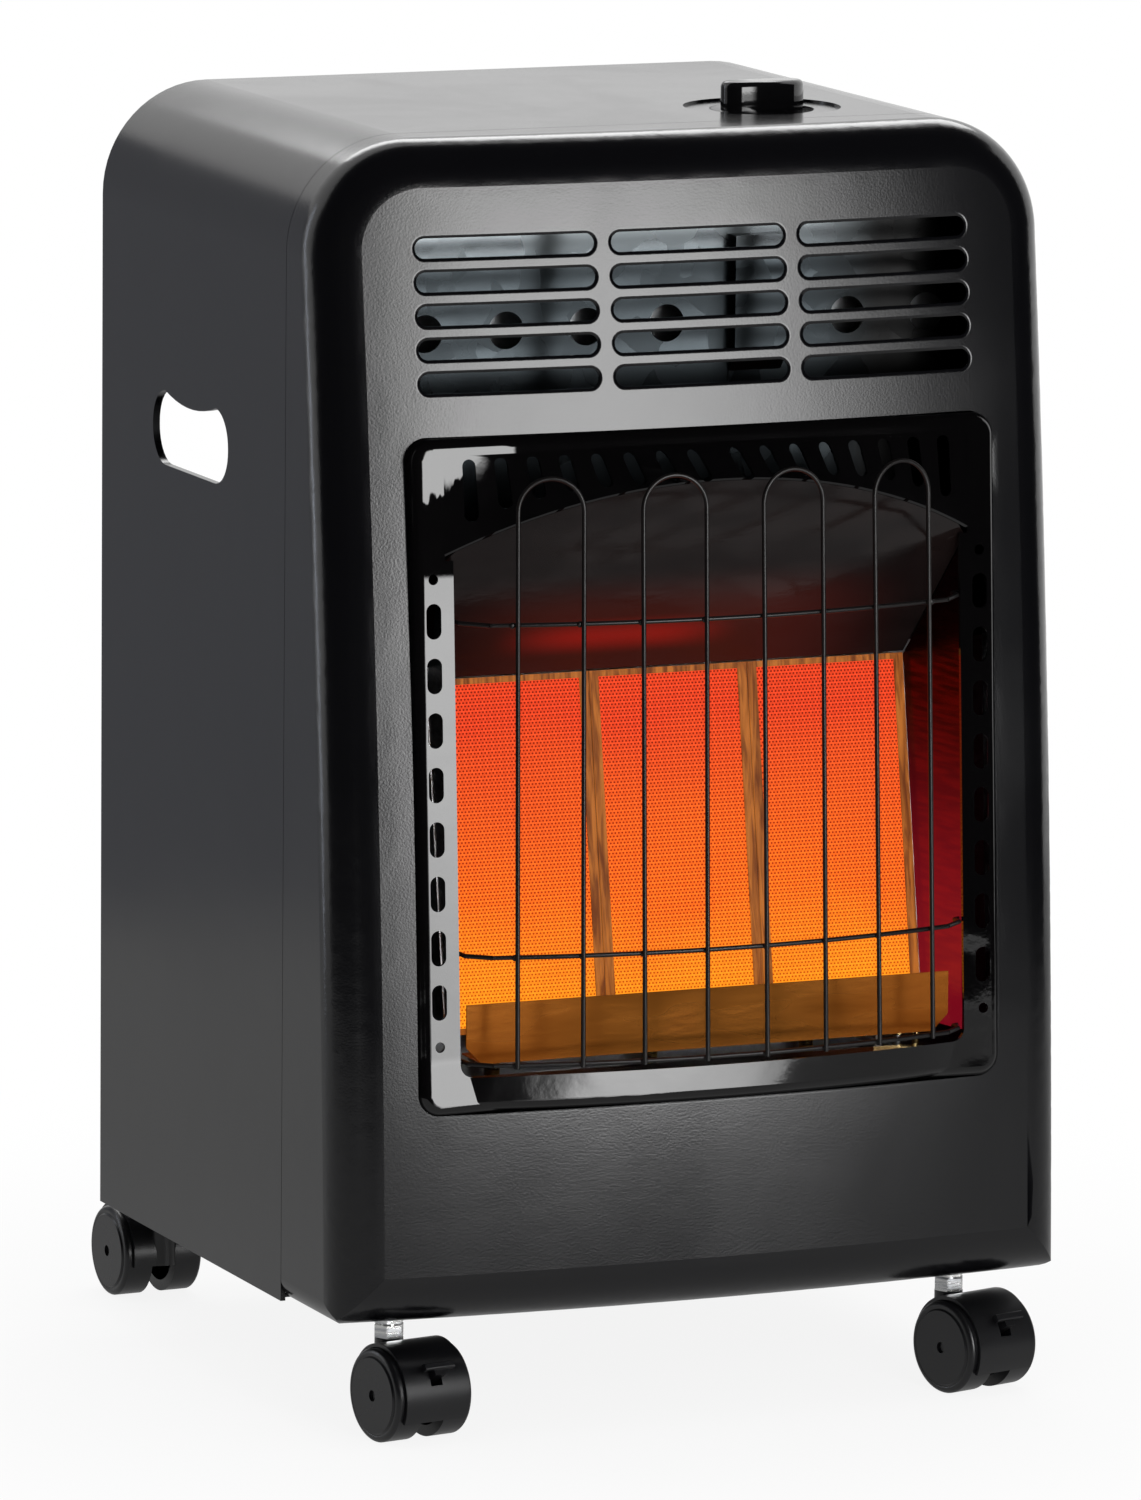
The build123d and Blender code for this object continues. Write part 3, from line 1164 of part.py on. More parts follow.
def main():
    os.makedirs("parts", exist_ok=True)
    nodes = build()
    boxes = [node.bounding_box() for node in nodes.values()]
    middle_y = (min(box.min.Y for box in boxes) + max(box.max.Y for box in boxes)) / 2
    print("moved by", 0, -middle_y, CASTER_HEIGHT)
    for name, node in nodes.items():
        export_step(Pos(0, -middle_y, CASTER_HEIGHT) * node, f"parts/{name}.step")


main()
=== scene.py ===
# %% [markdown]
# # A cabinet gas heater
# The object is a folded steel cabinet on four casters. Three ceramic plaques glow behind a wire
# guard, and a slotted front panel lets the warm air out. The shapes that carry loads or move come
# from a CAD model, so this lesson starts by loading that model. It then adds what CAD leaves out:
# screw threads, weld beads, glow, grain, dust and light. All lengths are in metres, Z points up.

import math

import bmesh
import bpy
from mathutils import Matrix, Vector


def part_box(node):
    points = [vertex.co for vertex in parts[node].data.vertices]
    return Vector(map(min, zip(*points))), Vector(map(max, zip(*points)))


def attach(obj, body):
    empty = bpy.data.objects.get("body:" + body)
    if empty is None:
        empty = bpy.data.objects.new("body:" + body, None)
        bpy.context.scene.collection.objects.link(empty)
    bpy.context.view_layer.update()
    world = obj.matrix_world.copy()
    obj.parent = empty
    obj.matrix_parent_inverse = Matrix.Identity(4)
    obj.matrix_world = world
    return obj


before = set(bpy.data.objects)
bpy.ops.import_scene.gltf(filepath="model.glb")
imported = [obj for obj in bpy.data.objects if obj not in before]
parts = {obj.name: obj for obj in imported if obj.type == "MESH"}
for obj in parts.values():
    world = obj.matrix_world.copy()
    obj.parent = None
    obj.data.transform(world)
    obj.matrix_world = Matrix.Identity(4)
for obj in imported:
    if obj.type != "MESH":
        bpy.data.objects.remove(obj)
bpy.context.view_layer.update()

# %% [markdown]
# ## The camera
# A long lens from six metres away keeps the upright edges almost parallel, as in a catalogue
# picture. The camera is placed by an azimuth, an elevation and a distance from a target point,
# because these three say more than a position does. A very small roll levels the picture.

# %% camera
TARGET = Vector((0.00038, -0.00613, 0.33165))
AZIMUTH = math.radians(-23.17)
ELEVATION = math.radians(9.74)
ROLL = math.radians(0.562)
DISTANCE = 6.0246
LENS_MM, SENSOR_MM = 266.604, 36.0

scene = bpy.context.scene
flat = math.cos(ELEVATION)
back = Vector((math.sin(AZIMUTH) * flat, -math.cos(AZIMUTH) * flat, math.sin(ELEVATION)))
horizontal = Vector((0, 0, 1)).cross(back).normalized()
rise = back.cross(horizontal)
right = math.cos(ROLL) * horizontal + math.sin(ROLL) * rise
up = math.cos(ROLL) * rise - math.sin(ROLL) * horizontal
facing = Matrix((right, up, back)).transposed().to_4x4()

camera_data = bpy.data.cameras.new("camera")
camera_data.lens = LENS_MM
camera_data.sensor_width = SENSOR_MM
camera = bpy.data.objects.new("camera", camera_data)
scene.collection.objects.link(camera)
camera.matrix_world = Matrix.Translation(TARGET + back * DISTANCE) @ facing
scene.camera = camera
print("camera at", [round(v, 3) for v in camera.location])

# %% [markdown]
# ## Helpers for node trees
# The room, the cards, the floor and all finishes are built from shader nodes. These functions add
# a node, do sums, fade a value between two limits, mix two colours and start a new material.

# %% node helpers
WHITE = (1, 1, 1, 1)


def plug(tree, value, socket):
    """Gives a socket its link, or its constant where the value is no link."""
    if isinstance(value, bpy.types.NodeSocket):
        tree.links.new(value, socket)
    else:
        socket.default_value = value


def add(tree, kind, sockets=None, **settings):
    """A node with its settings, whose sockets are given as values or as links."""
    made = tree.nodes.new("ShaderNode" + kind)
    for name, value in settings.items():
        setattr(made, name, value)
    for name, value in (sockets or {}).items():
        plug(tree, value, made.inputs[name])
    return made


def math_node(tree, operation, a, b=0.0, c=0.0):
    return add(tree, "Math", {0: a, 1: b, 2: c}, operation=operation).outputs[0]


def product(tree, first, *others):
    for other in others:
        first = math_node(tree, "MULTIPLY", first, other)
    return first


def remap(tree, value, low, high, to_low=0.0, to_high=1.0):
    """Fades smoothly from to_low at low to to_high at high, and stays level beyond."""
    limits = {"From Min": low, "From Max": high, "To Min": to_low, "To Max": to_high}
    made = add(tree, "MapRange", {"Value": value, **limits}, interpolation_type="SMOOTHSTEP")
    return made.outputs["Result"]


def mixed(tree, factor, first, second):
    """Colour between two colours or links."""
    made = add(tree, "Mix", data_type="RGBA")
    for index, value in ((0, factor), (6, first), (7, second)):
        plug(tree, value, made.inputs[index])
    return made.outputs[2]


def split(tree, vector):
    return add(tree, "SeparateXYZ", {"Vector": vector}).outputs


def stretched(tree, vector, scale):
    return add(tree, "Mapping", {"Vector": vector, "Scale": scale}).outputs[0]


def noise(tree, vector, scale, detail, distortion=0.0):
    """Soft random clouds. A higher scale makes them smaller."""
    looks = {"Scale": scale, "Detail": detail, "Distortion": distortion}
    return add(tree, "TexNoise", {"Vector": vector, **looks}).outputs["Fac"]


def object_place(tree):
    return add(tree, "TexCoord").outputs["Object"]


def start(name, roughness, metallic=0.0, **sockets):
    """A new material, its node tree, its shader and its object coordinates."""
    material = bpy.data.materials.new(name)
    material.use_nodes = True
    tree = material.node_tree
    shader = tree.nodes["Principled BSDF"]
    shader.inputs["Roughness"].default_value = roughness
    shader.inputs["Metallic"].default_value = metallic
    for label, value in sockets.items():
        shader.inputs[label.replace("_", " ")].default_value = value
    return material, tree, shader, object_place(tree)


print("node helpers are ready")

# %% [markdown]
# ## The studio
# Black gloss has almost no colour of its own: what is seen on it is the room. So the room is
# built like a photographer's. Plain lamps light the shapes, and a wall that only reflections can
# see carries the picture of one large soft box with soft edges. Around it the wall is black, and
# so are the cards at the left and above, which gives the rounded edges their dark bands.

# %% colour management and world
ROOM_LIGHT = 0.55

scene.view_settings.view_transform = "Standard"
world = bpy.data.worlds.new("white room")
scene.world = world
world.use_nodes = True
tree = world.node_tree
tree.nodes.clear()
rays = add(tree, "LightPath").outputs
room = add(tree, "Background", {"Color": WHITE, "Strength": ROOM_LIGHT})
seen = add(tree, "Background", {"Color": WHITE, "Strength": 1.0})
looked_at = math_node(tree, "MAXIMUM", rays["Is Camera Ray"], rays["Is Glossy Ray"])
looked_at = math_node(tree, "MAXIMUM", looked_at, rays["Is Transmission Ray"])
choose = add(tree, "MixShader", {0: looked_at, 1: room.outputs[0], 2: seen.outputs[0]})
add(tree, "OutputWorld", {"Surface": choose.outputs[0]})
print("room light", ROOM_LIGHT)

# %% soft boxes
SKY_BLUE = (0.75, 0.83, 1.0)


def soft_box(name, place, aim, size, watts, colour=WHITE[:3], mirrored=True):
    """A rectangular lamp at place that faces aim, hidden from the camera."""
    data = bpy.data.lights.new(name, "AREA")
    data.shape = "RECTANGLE"
    data.size, data.size_y = size
    data.energy = watts
    data.color = colour
    lamp = bpy.data.objects.new(name, data)
    scene.collection.objects.link(lamp)
    lamp.location = place
    direction = Vector(aim) - Vector(place)
    lamp.rotation_euler = direction.to_track_quat("-Z", "Y").to_euler()
    lamp.visible_camera = False
    lamp.visible_glossy = mirrored


soft_box(
    "front soft box",
    place=(0.15, -1.75, 0.66),
    aim=(0.1, -0.2, 0.42),
    size=(0.78, 0.85),
    watts=9.0,
    mirrored=False,
)
soft_box(
    "rear strip left",
    place=(-1.27, 0.90, 0.62),
    aim=(-0.2, -0.1, 0.5),
    size=(0.05, 1.3),
    watts=1.3,
    colour=SKY_BLUE,
)
soft_box(
    "rear top lamp",
    place=(0.55, 1.3, 1.75),
    aim=(0, 0, 0.68),
    size=(1.9, 0.6),
    watts=15.0,
)
soft_box(
    "overhead fill",
    place=(0.0, -0.3, 2.6),
    aim=(0, 0, 0),
    size=(1.5, 1.5),
    watts=6.0,
    mirrored=False,
)
print("four soft boxes stand round the heater")

# %% [markdown]
# ## What the reflections see
# A card is a flat sheet that only mirrored rays meet, so it never hides the heater or shades the
# floor. The wall in front computes its brightness from its own coordinates: a soft box between
# two heights, a low pool of light over the floor, and black elsewhere.

# %% cards
BLACK_LEVEL, GREY_LEVEL = 0.01, 0.29
BLUISH = (0.90, 0.92, 1.0, 1)

# Each light on the wall is a brightness and the stretches of X or Z over which it fades in.
WALL_LEVEL = 0.02
SOFT_BOX = (10.4, (("X", 0.03, 0.21), ("X", 1.20, 0.68), ("Z", 0.02, 0.36), ("Z", 1.06, 0.86)))
LOW_POOL = (9.0, (("X", -0.1, 0.5), ("X", 1.2, 0.6), ("Z", 0.4, 0.0)))


def card(name, centre, across, upward, material):
    """A flat card given by its middle and its two half sides, seen by reflections only."""
    shape = bmesh.new()
    middle, a, b = Vector(centre), Vector(across), Vector(upward)
    signs = ((-1, -1), (1, -1), (1, 1), (-1, 1))
    shape.faces.new([shape.verts.new(middle + s * a + t * b) for s, t in signs])
    mesh = bpy.data.meshes.new(name)
    shape.to_mesh(mesh)
    shape.free()
    flag = bpy.data.objects.new(name, mesh)
    scene.collection.objects.link(flag)
    mesh.materials.append(material)
    flag.visible_camera = False
    flag.visible_diffuse = False
    flag.visible_shadow = False
    flag.visible_transmission = False


def card_material(name, brightness, colour=WHITE):
    """A card that glows evenly, with its node tree and emission shader."""
    material = bpy.data.materials.new(name)
    material.use_nodes = True
    tree = material.node_tree
    tree.nodes.clear()
    glow = add(tree, "Emission", {"Color": colour, "Strength": brightness})
    add(tree, "OutputMaterial", {"Surface": glow.outputs[0]})
    return material, tree, glow


def front_wall_material():
    """Black wall with the soft picture of one big lamp and a low pool of light."""
    material, tree, glow = card_material("front wall", WALL_LEVEL)
    axes = split(tree, object_place(tree))
    total = WALL_LEVEL
    for brightness, fades in (SOFT_BOX, LOW_POOL):
        shades = [remap(tree, axes[axis], outer, inner) for axis, outer, inner in fades]
        total = math_node(tree, "ADD", product(tree, *shades, brightness), total)
    plug(tree, total, glow.inputs["Strength"])
    return material


black = card_material("black card", BLACK_LEVEL)[0]
grey = card_material("grey card", GREY_LEVEL, BLUISH)[0]
wall = front_wall_material()
CARDS = (  # name, middle, half side across, half side upward, material
    ("front wall", (0.3, -1.75, 1.3), (3.2, 0, 0), (0, 0, 1.3), wall),
    ("card above", (0, -0.62, 1.9), (2.2, 0, 0), (0, 1.13, 0), black),
    ("card left", (-1.7, -0.70, 1.0), (0, 1.15, 0), (0, 0, 1.0), black),
    ("card back left", (-0.72, 1.24, 0.5), (0.42, 0.14, 0), (0, 0, 0.5), grey),
    ("card right", (1.7, -0.9, 1.0), (0, 0.85, 0), (0, 0, 1.0), black),
)
for row in CARDS:
    card(*row)
print("a wall and", len(CARDS) - 1, "cards shade the reflections")

# %% floor
FLOOR_RADIUS = 2.2
FLOOR_DROP = 0.0002  # keeps the floor clear of the wheels' lowest points
FLOOR_SEGMENTS = 96
FLOOR_TONE = (0.93, 0.93, 0.93, 1)
FADE_START, FADE_END, FADE_LEAST = 0.25, 0.75, 0.88
MIRRORED_LEVEL = 0.42


def floor_material():
    """Pale floor that melts into the white room toward its rim."""
    looks = {"Base_Color": FLOOR_TONE, "Specular_IOR_Level": 0.0}
    material, tree, shader, where = start("pale floor", 0.7, **looks)
    reach = add(tree, "VectorMath", {0: where}, operation="LENGTH").outputs["Value"]
    fade = remap(tree, reach, FADE_START, FADE_END, FADE_LEAST)
    rays = add(tree, "LightPath").outputs
    looked_at = math_node(tree, "MAXIMUM", rays["Is Camera Ray"], rays["Is Glossy Ray"])
    brightness = remap(tree, rays["Is Glossy Ray"], 0.0, 1.0, 1.0, MIRRORED_LEVEL)
    glow = add(tree, "Emission", {"Color": WHITE, "Strength": brightness})
    share = product(tree, fade, looked_at)
    mix = add(tree, "MixShader", {0: share, 1: shader.outputs[0], 2: glow.outputs[0]})
    plug(tree, mix.outputs[0], tree.nodes["Material Output"].inputs["Surface"])
    return material


floor_shape = bmesh.new()
bmesh.ops.create_circle(floor_shape, cap_ends=True, segments=FLOOR_SEGMENTS, radius=FLOOR_RADIUS)
floor_mesh = bpy.data.meshes.new("floor")
floor_shape.to_mesh(floor_mesh)
floor_shape.free()
floor = bpy.data.objects.new("floor", floor_mesh)
scene.collection.objects.link(floor)
floor.location = (0, 0, -FLOOR_DROP)
floor_mesh.materials.append(floor_material())
print("the floor is", 2 * FLOOR_RADIUS, "m across")

# %% [markdown]
# ## Helpers for finishes
# Every finish below is procedural: noise, cells and simple arithmetic on the object's own
# coordinates, so it needs no picture and stays put when the heater moves. Effects that several
# finishes share, such as the pebbled skin of powder paint, are made once as a node group. A group
# gives out only masks and heights, and each material keeps its own shader.

# %% finish helpers


def shader_group(name, outputs, **numbers):
    """An empty node group with a vector input, some number inputs and its outputs."""
    group = bpy.data.node_groups.new(name, "ShaderNodeTree")
    sockets = group.interface
    sockets.new_socket("Vector", in_out="INPUT", socket_type="NodeSocketVector")
    for label, value in numbers.items():
        made = sockets.new_socket(label, in_out="INPUT", socket_type="NodeSocketFloat")
        made.default_value = value
    for label in outputs:
        sockets.new_socket(label, in_out="OUTPUT", socket_type="NodeSocketFloat")
    entry = group.nodes.new("NodeGroupInput").outputs
    leave = group.nodes.new("NodeGroupOutput").inputs
    return group, entry, leave


def use_group(tree, group, **sockets):
    made = tree.nodes.new("ShaderNodeGroup")
    made.node_tree = group
    for label, value in sockets.items():
        plug(tree, value, made.inputs[label])
    return made.outputs


def bump(tree, shader, height, depth):
    """Relief that is depth deep where height goes from 0 to 1."""
    made = add(tree, "Bump", {"Height": height, "Distance": depth, "Strength": 1.0})
    plug(tree, made.outputs["Normal"], shader.inputs["Normal"])
    return made


def nearest(tree, value, middle, pitch, most):
    """Distance along one axis to the nearest of a row of copies, at most so many each side."""
    offset = math_node(tree, "SUBTRACT", value, middle)
    count = math_node(tree, "ROUND", math_node(tree, "DIVIDE", offset, pitch))
    count = math_node(tree, "MINIMUM", math_node(tree, "MAXIMUM", count, -most), most)
    return math_node(tree, "MULTIPLY_ADD", count, -pitch, offset)


def lean_normal(tree, target, across, upward):
    """Leans the surface for shading only, by slopes along X and Z of the object itself."""
    tilt = add(tree, "CombineXYZ", {"X": across, "Z": upward}).outputs[0]
    spaces = {"vector_type": "VECTOR", "convert_from": "OBJECT", "convert_to": "WORLD"}
    turned = add(tree, "VectorTransform", {"Vector": tilt}, **spaces).outputs[0]
    flat = add(tree, "NewGeometry").outputs["Normal"]
    leaning = add(tree, "VectorMath", {0: flat, 1: turned}, operation="ADD").outputs[0]
    upright = add(tree, "VectorMath", {0: leaning}, operation="NORMALIZE").outputs[0]
    plug(tree, upright, target.inputs["Normal"])


print("finish helpers are ready")

# %% [markdown]
# ## Shared surface effects
# Powder paint dries with a skin like orange peel, about a millimetre from bump to bump. Drawn and
# rolled metal shows fine lines along one direction. Zinc dipped sheet shows crystals. Handling
# leaves faint smears that change only the roughness. Each of these becomes one group.

# %% powder skin group


def powder_skin():
    """Pebbles on slow waves that are three times as high, and smears for the gloss."""
    group, entry, leave = shader_group("powder skin", ("Height", "Smears"), Pebbles=900.0)
    where = entry["Vector"]
    pebble = noise(group, where, scale=entry["Pebbles"], detail=2.0)
    waves = noise(group, where, scale=22.0, detail=2.0)
    smear = noise(group, where, scale=6.5, detail=5.0, distortion=0.6)
    plug(group, math_node(group, "MULTIPLY_ADD", waves, 3.0, pebble), leave["Height"])
    plug(group, remap(group, smear, 0.35, 0.7), leave["Smears"])
    return group


powder = powder_skin()
print(powder.name, "group")

# %% drawn lines group


def drawn_lines():
    """Fine grain and broad tone. Stretched coordinates draw them out into lines."""
    group, entry, leave = shader_group("drawn lines", ("Height", "Tone"))
    plug(group, noise(group, entry["Vector"], scale=260.0, detail=3.0), leave["Height"])
    broad = noise(group, entry["Vector"], scale=40.0, detail=2.0)
    plug(group, remap(group, broad, 0.3, 0.7), leave["Tone"])
    return group


lines = drawn_lines()
print(lines.name, "group")

# %% zinc crystals group
CELL_SHARE, CLOUD_SHARE = 0.4, 0.6
WANDER = (0.006, 0.006, 0.006)


def zinc_crystals():
    """Cells with wandering edges and a tone each, under soft clouds."""
    group, entry, leave = shader_group("zinc crystals", ("Tone", "Height"), Cells=110.0)
    where = entry["Vector"]
    grain = add(group, "TexNoise", {"Vector": where, "Scale": 55.0, "Detail": 3.0})
    sockets = {0: grain.outputs["Color"], 1: WANDER, 2: where}
    bent = add(group, "VectorMath", sockets, operation="MULTIPLY_ADD").outputs[0]
    cell = add(group, "TexVoronoi", {"Vector": bent, "Scale": entry["Cells"]}).outputs
    tone = add(group, "SeparateColor", {"Color": cell["Color"]}).outputs[0]
    cloud = noise(group, where, scale=14.0, detail=5.0)
    own_tone = product(group, tone, CELL_SHARE)
    shade = math_node(group, "MULTIPLY_ADD", cloud, CLOUD_SHARE, own_tone)
    plug(group, shade, leave["Tone"])
    plug(group, cell["Distance"], leave["Height"])
    return group


crystals = zinc_crystals()
print(crystals.name, "group")

# %% dust group
SPECKS_PER_METRE = 330.0
SPECK_RIM = (0.09, 0.03)  # as shares of the distance between specks


def settled_dust():
    """Small specks that lie in patches."""
    group, entry, leave = shader_group("settled dust", ("Mask",))
    where = entry["Vector"]
    specks = add(group, "TexVoronoi", {"Vector": where, "Scale": SPECKS_PER_METRE})
    near = remap(group, specks.outputs["Distance"], *SPECK_RIM)
    patches = remap(group, noise(group, where, scale=9.0, detail=3.0), 0.5, 0.75)
    plug(group, product(group, near, patches), leave["Mask"])
    return group


dust = settled_dust()
print(dust.name, "group")

# %% [markdown]
# ## Black finishes
# The cabinet has satin powder paint. The surround is stamped and enamelled, so it mirrors the room
# and the slight waves of the stamping bend what it mirrors. The knob is moulded gloss plastic,
# the casters are matt nylon, and the guard's wires are coated.

# %% black coats


def coat(name, colour, dusty, gloss, pebbles):
    """Finish with dust in its colour and smears in its gloss. Its relief is left to add."""
    material, tree, shader, where = start(name, gloss[0])
    skin = use_group(tree, powder, Vector=where, Pebbles=pebbles)
    specks = use_group(tree, dust, Vector=where)["Mask"]
    plug(tree, mixed(tree, specks, colour, dusty), shader.inputs["Base Color"])
    plug(tree, remap(tree, skin["Smears"], 0.0, 1.0, *gloss), shader.inputs["Roughness"])
    return material, tree, shader, where, skin["Height"]


print("coat helper is ready")

# %% satin powder paint
SLOT_PITCH_X, SLOT_PITCH_Z = 0.1081, 0.0175
SLOTS_ASIDE, SLOTS_ABOVE = 1.0, 2.0
SLOT_MIDDLE_Z = 0.5953
SLOT_STRAIGHT, SLOT_RADIUS = 0.0442, 0.00525
RIM_WIDTH, RIM_FLAT_SHARE, RIM_LEAN = 0.0022, 0.2, -0.55
PAINT_RELIEF = 0.00004


def satin_powder():
    """Satin paint whose shading turns inward at the rim of each vent slot."""
    material, tree, shader, where, relief = coat(
        "satin powder paint",
        colour=(0.0028, 0.0028, 0.0036, 1),
        dusty=(0.03, 0.03, 0.032, 1),
        gloss=(0.16, 0.20),
        pebbles=900.0,
    )
    pebbled = bump(tree, shader, relief, PAINT_RELIEF)
    axes = split(tree, where)
    along = nearest(tree, axes["X"], 0.0, SLOT_PITCH_X, SLOTS_ASIDE)
    aside = nearest(tree, axes["Z"], SLOT_MIDDLE_Z, SLOT_PITCH_Z, SLOTS_ABOVE)
    out_along = math_node(tree, "ABSOLUTE", along)
    past_end = math_node(tree, "SUBTRACT", out_along, SLOT_STRAIGHT)
    past_end = math_node(tree, "MAXIMUM", past_end, 0.0)
    aside_squared = product(tree, aside, aside)
    squares = math_node(tree, "MULTIPLY_ADD", past_end, past_end, aside_squared)
    reach = math_node(tree, "SQRT", squares)
    outer = SLOT_RADIUS + RIM_WIDTH
    inner = SLOT_RADIUS + RIM_FLAT_SHARE * RIM_WIDTH
    rim = remap(tree, reach, outer, inner, 0.0, RIM_LEAN)
    share_x = math_node(tree, "DIVIDE", past_end, reach)
    share_z = math_node(tree, "DIVIDE", aside, reach)
    fall_x = product(tree, math_node(tree, "SIGN", along), share_x, rim)
    lean_normal(tree, pebbled, fall_x, product(tree, rim, share_z))
    return material


paint = satin_powder()
print(paint.name)

# %% gloss enamel
# The pressed steel leans in four places, and there the enamel mirrors another part of the room.
CORNER_X, CORNER_Z = (-0.105, -0.118), (0.527, 0.533)
UPPER_Z, UPPER_LEAN = (0.452, 0.466), 0.24
SILL_X, SILL_Z, SILL_LEAN = (0.12, -0.08), (0.211, 0.203), 0.13
RIGHT_X, RIGHT_LEAN = (0.09, 0.143), 0.2
ENAMEL_RELIEF, PEBBLE_SHARE = 0.0012, 0.02
RAGGED = 0.05


def gloss_enamel():
    """Enamel like a mirror over slightly wavy pressed steel."""
    material, tree, shader, where, relief = coat(
        "gloss enamel",
        colour=(0.0018, 0.0016, 0.0018, 1),
        dusty=(0.04, 0.04, 0.04, 1),
        gloss=(0.05, 0.10),
        pebbles=260.0,
    )
    ripple = noise(tree, where, scale=17.0, detail=1.5, distortion=0.4)
    height = math_node(tree, "MULTIPLY_ADD", relief, PEBBLE_SHARE, ripple)
    wavy = bump(tree, shader, height, ENAMEL_RELIEF)
    axes = split(tree, where)
    drips = noise(tree, stretched(tree, where, (1, 1, 0.3)), scale=75.0, detail=3.0)
    ragged = math_node(tree, "MULTIPLY_ADD", drips, RAGGED, axes["Z"])
    corner = product(tree, remap(tree, ragged, *CORNER_Z), remap(tree, axes["X"], *CORNER_X))
    upper = math_node(tree, "SUBTRACT", remap(tree, axes["Z"], *UPPER_Z), corner)
    sill = product(tree, remap(tree, axes["Z"], *SILL_Z), remap(tree, axes["X"], *SILL_X))
    upward = product(tree, upper, UPPER_LEAN)
    upward = math_node(tree, "MULTIPLY_ADD", sill, SILL_LEAN, upward)
    across = product(tree, remap(tree, axes["X"], *RIGHT_X), RIGHT_LEAN)
    lean_normal(tree, wavy, across, upward)
    return material


enamel = gloss_enamel()
print(enamel.name)

# %% coated wire, nylon, knob and switch
KNOB_LEAN = (-0.25, 0.75)
WIRE_SPECULAR = 0.3
MOULDED_DUST = (0.12, 0.12, 0.12, 1)


def moulded(name, colour, gloss, pebbles, depth):
    """Moulded or coated black finish with its own gloss range and grain."""
    material, tree, shader, _, relief = coat(name, (*colour, 1), MOULDED_DUST, gloss, pebbles)
    return material, tree, bump(tree, shader, relief, depth)


def knob_plastic():
    """Gloss plastic, shaded as if the flat grip were crowned from left to right."""
    material, tree, pebbled = moulded(
        "knob plastic", (0.004, 0.004, 0.0045), gloss=(0.07, 0.12), pebbles=700.0, depth=0.00001
    )
    low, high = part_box("control_knob")
    place = split(tree, object_place(tree))["X"]
    lean_normal(tree, pebbled, remap(tree, place, low.x, high.x, *KNOB_LEAN), 0.0)
    return material


wire_coat = moulded(
    "coated wire", (0.006, 0.005, 0.005), gloss=(0.30, 0.42), pebbles=1400.0, depth=0.00003
)[0]
wire_shader = wire_coat.node_tree.nodes["Principled BSDF"]
wire_shader.inputs["Specular IOR Level"].default_value = WIRE_SPECULAR
nylon = moulded(
    "caster nylon", (0.004, 0.004, 0.005), gloss=(0.27, 0.36), pebbles=1600.0, depth=0.00003
)[0]
gloss_plastic = knob_plastic()
switch_plastic = moulded(
    "switch plastic", (0.03, 0.03, 0.03), gloss=(0.4, 0.5), pebbles=1500.0, depth=0.00002
)[0]
print("coated wire, nylon, knob and switch plastic")

# %% [markdown]
# ## Metals
# Inside, sheet steel keeps its zinc crystals. The vent baffle is painted dark as shade, with a
# painted highlight along its top. Nuts and stems are bright zinc plate, the fittings are brass,
# and the tubes are soft aluminium.

# %% plain metals
CRYSTAL_RELIEF, TURNED_RELIEF = 0.00008, 0.00006
# Painted highlight along the baffle's top, and painted shade toward its right.
PAINTED_HIGHLIGHT_Z, PAINTED_SHADE_X = (0.612, 0.632), (0.075, 0.125)
PAINTED_HIGHLIGHT_SILVER, PAINTED_SHADE_BLACK = (0.085, 0.095, 0.10, 1), (0.002, 0.002, 0.002, 1)


def sheet_metal(name, dark, light, roughness, cells):
    """Zinc coated sheet, with crystals and clouds between two greys."""
    material, tree, shader, where = start(name, roughness, metallic=0.9)
    zinc = use_group(tree, crystals, Vector=where, Cells=cells)
    plug(tree, mixed(tree, zinc["Tone"], (*dark, 1), (*light, 1)), shader.inputs["Base Color"])
    rough = remap(tree, zinc["Tone"], 0.2, 0.8, roughness + 0.08, roughness - 0.06)
    plug(tree, rough, shader.inputs["Roughness"])
    bump(tree, shader, zinc["Height"], CRYSTAL_RELIEF)
    return material


def draw(tree, shader, where, colours, gloss, stretch, depth):
    """Lines in colour, gloss and relief. They run across the axis that is stretched most."""
    marks = use_group(tree, lines, Vector=stretched(tree, where, stretch))
    dark, light = ((*colour, 1) for colour in colours)
    plug(tree, mixed(tree, marks["Tone"], dark, light), shader.inputs["Base Color"])
    plug(tree, remap(tree, marks["Tone"], 0.0, 1.0, *gloss), shader.inputs["Roughness"])
    bump(tree, shader, marks["Height"], depth)


def turned_metal(name, dark, light, roughness, stretch=(1, 1, 14)):
    """Machined or drawn metal."""
    material, tree, shader, where = start(name, roughness, metallic=1.0)
    gloss = (roughness + 0.05, roughness - 0.05)
    draw(tree, shader, where, (dark, light), gloss, stretch, TURNED_RELIEF)
    return material


def baffle_painted_shade():
    """Sheet painted dark as shade, silver along its top as a painted highlight, black toward its
    right as painted shade.
    """
    material = sheet_metal(
        "baffle painted shade and highlight",
        dark=(0.012, 0.015, 0.017),
        light=(0.022, 0.027, 0.030),
        roughness=0.26,
        cells=60.0,
    )
    tree = material.node_tree
    base = tree.nodes["Principled BSDF"].inputs["Base Color"]
    axes = split(tree, object_place(tree))
    tone = base.links[0].from_socket
    # Painted highlight at the top, then painted shade toward the right.
    tone = mixed(tree, remap(tree, axes["Z"], *PAINTED_HIGHLIGHT_Z), tone, PAINTED_HIGHLIGHT_SILVER)
    tone = mixed(tree, remap(tree, axes["X"], *PAINTED_SHADE_X), tone, PAINTED_SHADE_BLACK)
    plug(tree, tone, base)
    return material


